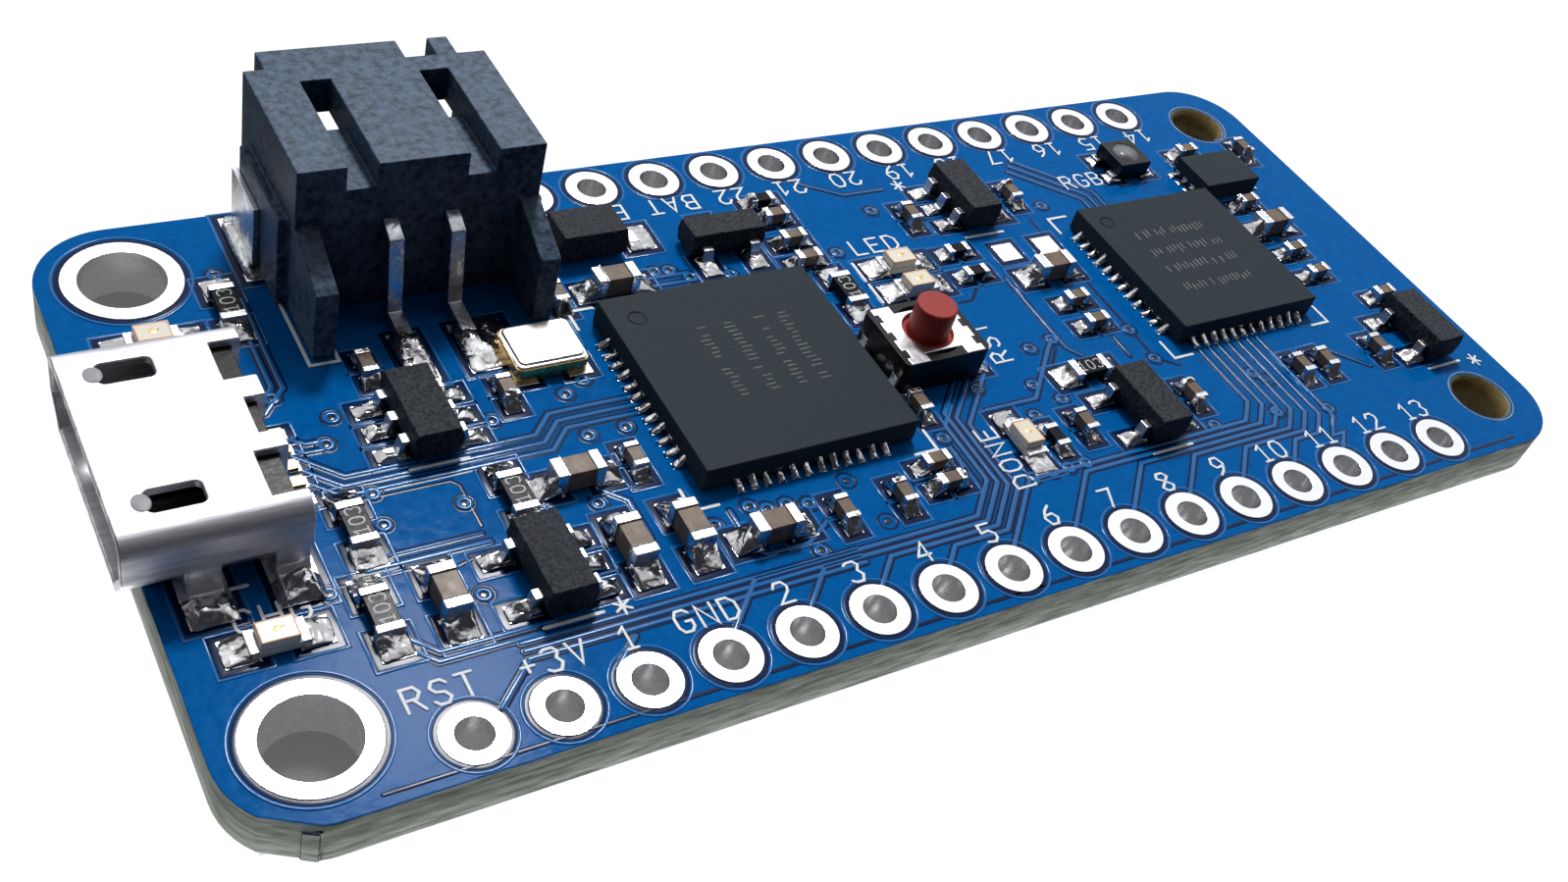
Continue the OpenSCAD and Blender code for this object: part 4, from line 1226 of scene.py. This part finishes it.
@dataclass
class Solder:
    """Solder that has set on the lands and climbs the ends of the parts.

    Args:
        film: thickness far from the part.
        rings: shares of the way out at which a mound has points.
        spokes: how many points go round it.
        small_rings: the same for a small mound.
        small_spokes: the same for a small mound.
        leg_land: least width of a land that takes a leg of the USB shell.
        heap_reach: how far a heap goes inward and outward from the shell's side.
        leg_inset: distance of the leg from the heap's sides and ends.
        heap_climb: how far up the leg the heap goes.
    """

    film: float = 0.05
    rings: tuple[float, ...] = (0.0, 0.3, 0.55, 0.75, 0.88, 0.96, 1.0)
    spokes: int = 22
    small_rings: tuple[float, ...] = (0.0, 0.45, 0.8, 1.0)
    small_spokes: int = 12
    leg_land: float = 1.25
    heap_reach: tuple[float, float] = (0.72, 0.36)
    leg_inset: tuple[float, float] = (0.32, 0.2)
    heap_climb: float = 0.34

    def mound(self, land: Block, part: Block, climb: float, random, small: bool = False) -> np.ndarray:
        """One mound on one land.

        A point at share r of the way out, on a squared-off circle over the land, has the
        height sqrt(1 - r^4) x (film + climb x s^1.7 x lumps), where s falls from 1 at the
        part to 0 at the land's far end, and lumps is 1 plus two slow sine waves.

        Args:
            land: the land.
            part: the lead or end cap on it.
            climb: how far up the part it goes.
            random: source of the waves' phases.
            small: use fewer points.

        Returns:
            A closed grid for Shell.add_grid.
        """
        share = np.array(self.small_rings if small else self.rings)
        angle = np.linspace(0, 2 * np.pi, (self.small_spokes if small else self.spokes) + 1)
        cos, sin = np.cos(angle), np.sin(angle)
        square = np.stack([np.sign(cos) * np.abs(cos) ** 0.4, np.sign(sin) * np.abs(sin) ** 0.4], -1)
        wobble = 1 + 0.04 * np.sin(3 * angle + random.uniform(0, 6)) + 0.03 * np.sin(5 * angle)
        wobble[-1] = wobble[0]
        out = share[:, None, None] * (square * wobble[:, None])[None]
        flat = land.centre[:2] + out * land.size[:2] / 2 * 1.03
        apart = np.maximum(np.maximum(part.lo[:2] - flat, flat - part.hi[:2]), 0)
        away = np.hypot(apart[..., 0], apart[..., 1])
        slope = np.clip(1 - away / max(away.max(), 1e-6), 0, 1) ** 1.7
        waves = random.uniform(0, 6, 4)
        lumps = 1 + 0.34 * np.sin(flat[..., 0] * 5.1 + flat[..., 1] * 3.3 + waves[0])
        lumps += 0.26 * np.sin(flat[..., 1] * 7.7 - flat[..., 0] * 4.2 + waves[1])
        rim = np.sqrt(np.clip(1 - share**4, 0, 1))[:, None]
        tall = land.hi[2] - 0.004 + rim * (self.film + climb * slope * lumps)
        tall[0] = tall[0].mean()
        grid = np.concatenate([flat, tall[..., None]], -1)
        base = grid[-1:].copy()
        middle = np.broadcast_to(base.mean(1, keepdims=True), base.shape)
        return np.concatenate([grid, middle], 0)

    def join(self, shop: Shop, name: str, nodes: tuple[str, ...], low: float, high: float,
             small: bool = False) -> None:
        """Solders every terminal of some nodes to the land it stands on.

        Args:
            shop: the workshop.
            name: name of the piece.
            nodes: nodes of the terminals.
            low: least share of the terminal's height that the solder climbs.
            high: largest share.
            small: use fewer points.
        """
        lands = shop.frame.islands("component_lands")
        shell = Shell()
        for node in nodes:
            for part in shop.frame.islands(node):
                under = [(overlap(part, land), k) for k, land in enumerate(lands)]
                area, k = max(under)
                if area < LEAST_OVERLAP or min(lands[k].size[:2]) > BROAD_LAND:
                    continue
                climb = part.size[2] * shop.random.uniform(low, high)
                shell.add_grid(self.mound(lands[k], part, climb, shop.random, small))
        shop.hand_in(shell.build(name), SOLDER)

    def build(self, shop: Shop) -> None:
        """Solders each family of parts."""
        self.join(shop, "solder_at_large_parts", (
            "large_capacitor_terminals", "large_resistor_terminals", "status_led_terminals"), 0.35, 0.7)
        self.join(shop, "solder_at_small_parts", (
            "small_capacitor_terminals", "small_resistor_terminals"), 0.45, 0.85)
        self.join(shop, "solder_at_chips", ("main_chip_terminals", "second_chip_terminals"),
                  0.7, 1.2, True)
        self.join(shop, "solder_at_leads", (
            "charger_chip_leads", "usb_guard_leads", "near_regulator_leads", "far_regulator_leads",
            "supervisor_leads", "power_switch_leads", "diode_leads", "memory_chip_terminals",
            "colour_led_terminals"), 0.15, 0.3)
        self.join(shop, "solder_at_sockets", (
            "battery_socket_pins", "battery_socket_tabs", "reset_switch_legs"), 0.08, 0.12)
        self.heaps(shop)

    def heaps(self, shop: Shop) -> None:
        """Heaps solder over the feet of the USB shell's four legs."""
        shell = Shell()
        feet = shop.frame.block("usb_shell")
        inward, outward = self.heap_reach
        thin, end = self.leg_inset
        for land in shop.frame.islands("component_lands"):
            if land.centre[0] > feet.hi[0] or min(land.size[:2]) < self.leg_land:
                continue
            side = np.sign(land.centre[1])
            near, far = sorted(side * (abs(feet.hi[1]) + step) for step in (-inward, outward))
            pool = Block(np.array([land.lo[0], near, land.lo[2]]), np.array([land.hi[0], far, land.hi[2]]))
            leg = Block(pool.lo + (thin, end, 0), np.array([land.hi[0] - thin, far - end, feet.hi[2]]))
            shell.add_grid(self.mound(pool, leg, self.heap_climb, shop.random))
        shop.hand_in(shell.build("solder_at_usb_legs"), SOLDER)


def overlap(a: Block, b: Block) -> float:
    """Area that two blocks share when seen from above."""
    sides = np.minimum(a.hi, b.hi)[:2] - np.maximum(a.lo, b.lo)[:2]
    return float(np.prod(np.maximum(sides, 0)))


@dataclass
class Trim:
    """Small fittings on the shown parts: frames in the lights, dimples on the USB roof.

    Args:
        frame: section of the plated frame round each lens.
        wire: section of the frame's inner wire.
        dimple: a dimple's distance from the USB mouth and from the shell's middle.
        dimple_half: its half axes.
        dimple_rise: its height.
        hole: place of the right mounting holes, on both sides.
        hole_r: radius of their lining.
        rim_r: radius of their rim.
        inset: distance of the lining's ends from the board's faces.
    """

    frame: Strip = Strip(0.06, 0.012, 0.006)
    wire: Strip = Strip(0.03, 0.02, 0.004)
    dimple: tuple[float, float] = (0.86, 2.4)
    dimple_half: tuple[float, float] = (0.26, 0.33)
    dimple_rise: float = 0.03
    hole: tuple[float, float] = (22.86, 8.89)
    hole_r: float = 1.18
    rim_r: float = 1.32
    inset: float = 0.04

    def dome(self, shell: Shell, middle, half: tuple[float, float], height: float) -> None:
        """Adds a low dome: at share r of the way out its height is height x sqrt(1 - r^2).

        Args:
            shell: where it goes.
            middle: the centre of its foot (x, y, z).
            half: its half axes in x and y.
            height: how high it stands.
        """
        share = np.sin(np.linspace(0, np.pi / 2, 7))[:, None]
        angle = np.linspace(0, 2 * np.pi, 25)[None]
        x = middle[0] + half[0] * share * np.cos(angle)
        y = middle[1] + half[1] * share * np.sin(angle)
        z = middle[2] - 0.01 + (height + 0.01) * np.sqrt(1 - share**2) + 0 * angle
        grid = np.stack([x, y, z], -1)
        foot = np.broadcast_to((middle[0], middle[1], middle[2] - 0.01), grid[-1:].shape)
        shell.add_grid(np.concatenate([grid, foot], 0))

    def tube(self, shell: Shell, middle, radius: float, low: float, high: float) -> None:
        """Adds a thin closed lining: a small rectangle turned round a hole's axis.

        Args:
            shell: where it goes.
            middle: the axis (x, y).
            radius: its inner radius.
            low: height of its lower end.
            high: height of its upper end.
        """
        angle = np.linspace(0, 2 * np.pi, 64, endpoint=False)[:, None]
        out = np.array([[radius, radius + 0.03, radius + 0.03, radius]])
        z = np.broadcast_to([[low, low, high, high]], (64, 4))
        grid = np.stack([middle[0] + out * np.cos(angle), middle[1] + out * np.sin(angle), z], -1)
        shell.add_grid(grid, wrap_u=True, wrap_v=True)

    def build(self, shop: Shop) -> None:
        """Adds the trim of the lights, of the USB shell and of the plain holes."""
        frames, dies, dimples, linings, rims = (Shell() for _ in range(5))
        for lens in shop.frame.islands("status_led_lenses"):
            x, y, top = *lens.centre[:2], lens.hi[2]
            self.frame.lay(frames, frame_of(lens, -0.04), top, True)
            self.dome(dies, (x, y, top), (0.13, 0.13), 0.012)
            reach = 0.3 * (lens.size[:2] - min(lens.size[:2]))
            self.wire.lay(dies, [(x, y), (x + 0.1 + reach[0], y + 0.06 + reach[1])], top)
        roof, board = shop.frame.block("usb_shell"), shop.frame.block("board_laminate")
        for side in (-1, 1):
            x, y = self.dimple
            self.dome(dimples, (roof.lo[0] + x, side * y, roof.hi[2]), self.dimple_half, self.dimple_rise)
            x, y = self.hole[0], side * self.hole[1]
            self.tube(linings, (x, y), self.hole_r, board.lo[2] + self.inset, board.hi[2] - self.inset)
            self.frame.lay(rims, circle(x, y, self.rim_r, 56), board.hi[2], True)
        for shell, name, finish, slot in (
            (frames, "light_frames", AMBER, "light_lens"), (dies, "light_dies", CONTACT_GOLD, "light_lens"),
            (dimples, "latch_dimples", STAMPED, "shell_steel"),
            (linings, "hole_linings", CUT_RESIN, "solder_mask_board"),
            (rims, "hole_rims", STAMPED, "solder_mask_board"),
        ):
            shop.hand_in(shell.build(name), finish)


# ------------------------------------------------------------------ markings


@dataclass
class Etching:
    """Faint rows of short dashes on the chips and the crystal's lid, where a maker's code would be, and
    codes on the large resistors.

    Args:
        dash: section of one dash.
        pitch: distance from dash to dash.
        tall: length of a dash.
    """

    dash: Strip = Strip(0.06, 0.0025, 0.002)
    pitch: float = 0.2
    tall: float = 0.4

    def row(self, shell: Shell, random, start, along, count: int, z: float) -> None:
        """One row of dashes.

        Args:
            shell: where they go.
            random: source of the gaps and lengths.
            start: middle of its first dash.
            along: unit direction of the row.
            count: how many places it has.
            z: surface that it lies on.
        """
        start, along = np.array(start, float), np.array(along, float)
        across = np.array([-along[1], along[0]])
        for k in range(count):
            if random.random() < 0.16:
                continue
            half = self.tall * random.uniform(0.25, 0.5)
            middle = start + along * self.pitch * k + across * random.uniform(-0.08, 0.08)
            self.dash.lay(shell, [middle - across * half, middle + across * half], z)

    def build(self, shop: Shop) -> None:
        """Marks both square chips, the crystal's lid and the large resistors."""
        frame, random = shop.frame, shop.random
        main, second = frame.block("main_chip_body"), frame.block("second_chip_body")
        lid = frame.block("crystal_lid")
        brown, grey, faint, codes = (Shell() for _ in range(4))
        for shell, chip, along, count, starts in (
            (brown, main, (0, 1), 17, [(x, -1.3) for x in (-1.2, -0.1, 1.0, 1.9)]),
            (grey, second, (1, 0), 19, [(-1.9, y) for y in (1.5, 0.5, -0.5, -1.6)]),
            (faint, lid, (1, 0), 7, [(-0.55, y) for y in (-0.25, 0.3)]),
        ):
            for start in starts:
                self.row(shell, random, chip.centre[:2] + start, along, count, chip.hi[2])
        pen = Lettering(0.42, 0.6, 0.9, Strip(0.055, 0.004, 0.002))
        for part in frame.islands("large_resistor_bodies"):
            turn = 90 if part.size[1] > part.size[0] else 0
            pen.write(codes, "103", part.centre[0], part.centre[1], part.hi[2], turn)
        for shell, name, finish, slot in (
            (brown, "main_chip_marks", MARK_BROWN, "chip_moulding"),
            (grey, "second_chip_marks", MARK_GREY, "chip_moulding"),
            (faint, "crystal_marks", MARK_TAN, "lid_steel"),
            (codes, "resistor_codes", MARK_PALE, "resistor_film"),
        ):
            shop.hand_in(shell.build(name), finish)


# ------------------------------------------------------------------ studio


@dataclass
class Softbox:
    """A rectangular lamp that looks at the middle of the board.

    Args:
        name: the lamp's name.
        towards: direction from the board to the lamp.
        away: distance in millimetres.
        size: its two sides in millimetres.
        radiance: brightness of its face.
    """

    name: str
    towards: tuple[float, float, float]
    away: float
    size: tuple[float, float]
    radiance: float

    def build(self) -> None:
        """Makes the lamp; its power is radiance x pi x area."""
        lamp = bpy.data.lights.new(self.name, "AREA")
        lamp.shape = "RECTANGLE"
        lamp.size, lamp.size_y = (side * MM for side in self.size)
        lamp.energy = self.radiance * math.pi * lamp.size * lamp.size_y
        way = Vector(self.towards).normalized()
        obj = linked(self.name, lamp)
        obj.location = way * self.away * MM
        obj.rotation_euler = way.to_track_quat("Z", "Y").to_euler()


@dataclass
class Studio:
    """Camera, lamps, surroundings and floor.

    Args:
        eye: the camera's place.
        right: the camera's right.
        up: the camera's up.
        ahead: the way the camera looks.
        lens: its focal length, on a 36 mm film.
        floor_half: half the side of the floor.
        floor_z: height of the floor.
        table_white: the floor's whiteness rises from the third number at the first
            distance outside the board to the fourth at the second.
        table_glow: brightness of the floor's glow at the board's edge.
        reach: distance over which that glow fades out.
        sky: direction of the middle of the sky.
        dusk: cosines from that direction between which dark turns to light.
        sky_dark: colour of the dark side.
        sky_light: colour of the light side.
        fill: share of the sky that matt surfaces get.
        boxes: the lamps.
    """

    eye: tuple[float, float, float] = (-31.826, -31.544, 37.390)
    right: tuple[float, float, float] = (0.84486, -0.48032, 0.23558)
    up: tuple[float, float, float] = (0.19969, 0.69165, 0.69407)
    ahead: tuple[float, float, float] = (0.49632, 0.53935, -0.68027)
    lens: float = 37.90
    floor_half: float = 4000.0
    floor_z: float = -0.02
    table_white: tuple[float, float, float, float] = (-0.9, -0.7, 0.1, 1.0)
    table_glow: float = 1.9
    reach: float = 4.0
    sky: tuple[float, float, float] = (0.35, 0.85, 0.40)
    dusk: tuple[float, float] = (0.15, 0.62)
    sky_dark: tuple[float, float, float] = (0.05, 0.05, 0.06)
    sky_light: tuple[float, float, float] = (1.12, 1.14, 1.18)
    fill: float = 0.5
    boxes: tuple[Softbox, ...] = (
        Softbox("key_lamp", (0.20, 0.50, 0.84), 260.0, (42.0, 42.0), 86.0),
        Softbox("left_lamp", (-0.80, 0.45, 0.65), 260.0, (90.0, 60.0), 0.8),
        Softbox("right_lamp", (0.90, -0.35, 0.40), 260.0, (60.0, 40.0), 3.0),
    )

    def camera(self) -> None:
        """Places the camera and makes it the scene's."""
        data = bpy.data.cameras.new("view")
        data.sensor_width = 36.0
        data.lens = self.lens
        data.clip_start = 0.001
        obj = linked("view", data)
        turn = Matrix((self.right, self.up, [-c for c in self.ahead])).transposed()
        obj.matrix_world = Matrix.Translation(Vector(self.eye) * MM) @ turn.to_4x4()
        bpy.context.scene.camera = obj

    def surroundings(self) -> None:
        """A white sky over the far side, which fades to black over the near left side.

        What the camera sees directly is plain white all round, and matt surfaces get
        only the `fill` part of the sky, so that the lamps' shadows stay deep.
        """
        world = bpy.data.worlds.new("surroundings")
        bpy.context.scene.world = world
        world.use_nodes = True
        tree = world.node_tree
        way = add_node(tree, "TexCoord").outputs["Generated"]
        height = add_node(tree, "VectorMath", {0: way, 1: Vector(self.sky).normalized()},
                          operation="DOT_PRODUCT").outputs["Value"]
        low, high = self.dusk
        ramp = add_node(tree, "MapRange", {"Value": height, "From Min": low, "From Max": high},
                        interpolation_type="SMOOTHSTEP").outputs["Result"]
        sky = blend(tree, ramp, (*self.sky_dark, 1.0), (*self.sky_light, 1.0))
        ray = add_node(tree, "LightPath").outputs
        fill = add_node(tree, "Math", {0: ray["Is Diffuse Ray"], 1: self.fill - 1.0, 2: 1.0},
                        operation="MULTIPLY_ADD").outputs["Value"]
        feed(tree, tree.nodes["Background"], {
            "Color": blend(tree, ray["Is Camera Ray"], sky, WHITE), "Strength": fill})

    def floor(self, shop: Shop) -> None:
        """A wide pale sheet that the board lies on."""
        line = np.linspace(-self.floor_half, self.floor_half, 3)
        x, y = np.meshgrid(line, line, indexing="ij")
        shell = Shell()
        shell.add_grid(np.stack([x, y, np.full_like(x, self.floor_z)], -1))
        sheet = shell.build("floor", smooth=False)
        sheet.data.materials.append(self.light_table(shop))
        sheet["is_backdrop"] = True

    def light_table(self, shop: Shop) -> bpy.types.Material:
        """A table that looks white all round the board, but lights only the board's edge.

        With d = max(|x| - half length, |y| - half width), the camera sees white from a
        little inside the outline, which the round corners leave open, and other rays see
        a glow that fades out over `reach`.

        Args:
            shop: the workshop.

        Returns:
            The floor's material.
        """
        made = PAPER.material(shop.groups)
        tree = made.node_tree
        half = shop.frame.block("board_laminate").size[:2] * MM / 2
        place = add_node(tree, "TexCoord").outputs["Object"]
        far = add_node(tree, "VectorMath", {0: place}, operation="ABSOLUTE").outputs["Vector"]
        past = add_node(tree, "VectorMath", {0: far, 1: (*half, 0.0)}, operation="SUBTRACT")
        past = add_node(tree, "SeparateXYZ", {0: past.outputs["Vector"]}).outputs
        most = add_node(tree, "Math", {0: past["X"], 1: past["Y"]}, operation="MAXIMUM").outputs["Value"]
        white, near = (
            add_node(tree, "MapRange", {"Value": most, "From Min": start * MM, "From Max": end * MM,
                                        "To Min": first, "To Max": last}).outputs["Result"]
            for start, end, first, last in (self.table_white, (0.0, self.reach, self.table_glow, 0.0)))
        glow = add_node(tree, "Math", {0: near, 1: white}, operation="MULTIPLY").outputs[0]
        seen = add_node(tree, "LightPath").outputs["Is Camera Ray"]
        feed(tree, tree.nodes[SHADER], {
            "Emission Color": WHITE, "Emission Strength": blend(tree, seen, glow, white, "FLOAT")})
        return made

    def build(self, shop: Shop) -> None:
        """Sets the whole studio up."""
        bpy.context.scene.view_settings.view_transform = "Standard"
        self.camera()
        self.surroundings()
        self.floor(shop)
        for box in self.boxes:
            box.build()


def main() -> None:
    """Builds the studio and each sub-assembly."""
    logging.basicConfig(level=logging.INFO, format="%(message)s")
    shop = Shop()
    Studio().build(shop)
    for assembly in (Dressing(), BoardArtwork(), Solder(), Trim(), Etching()):
        LOG.info("building %s", type(assembly).__name__)
        assembly.build(shop)
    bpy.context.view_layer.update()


if __name__ == "__main__":
    main()
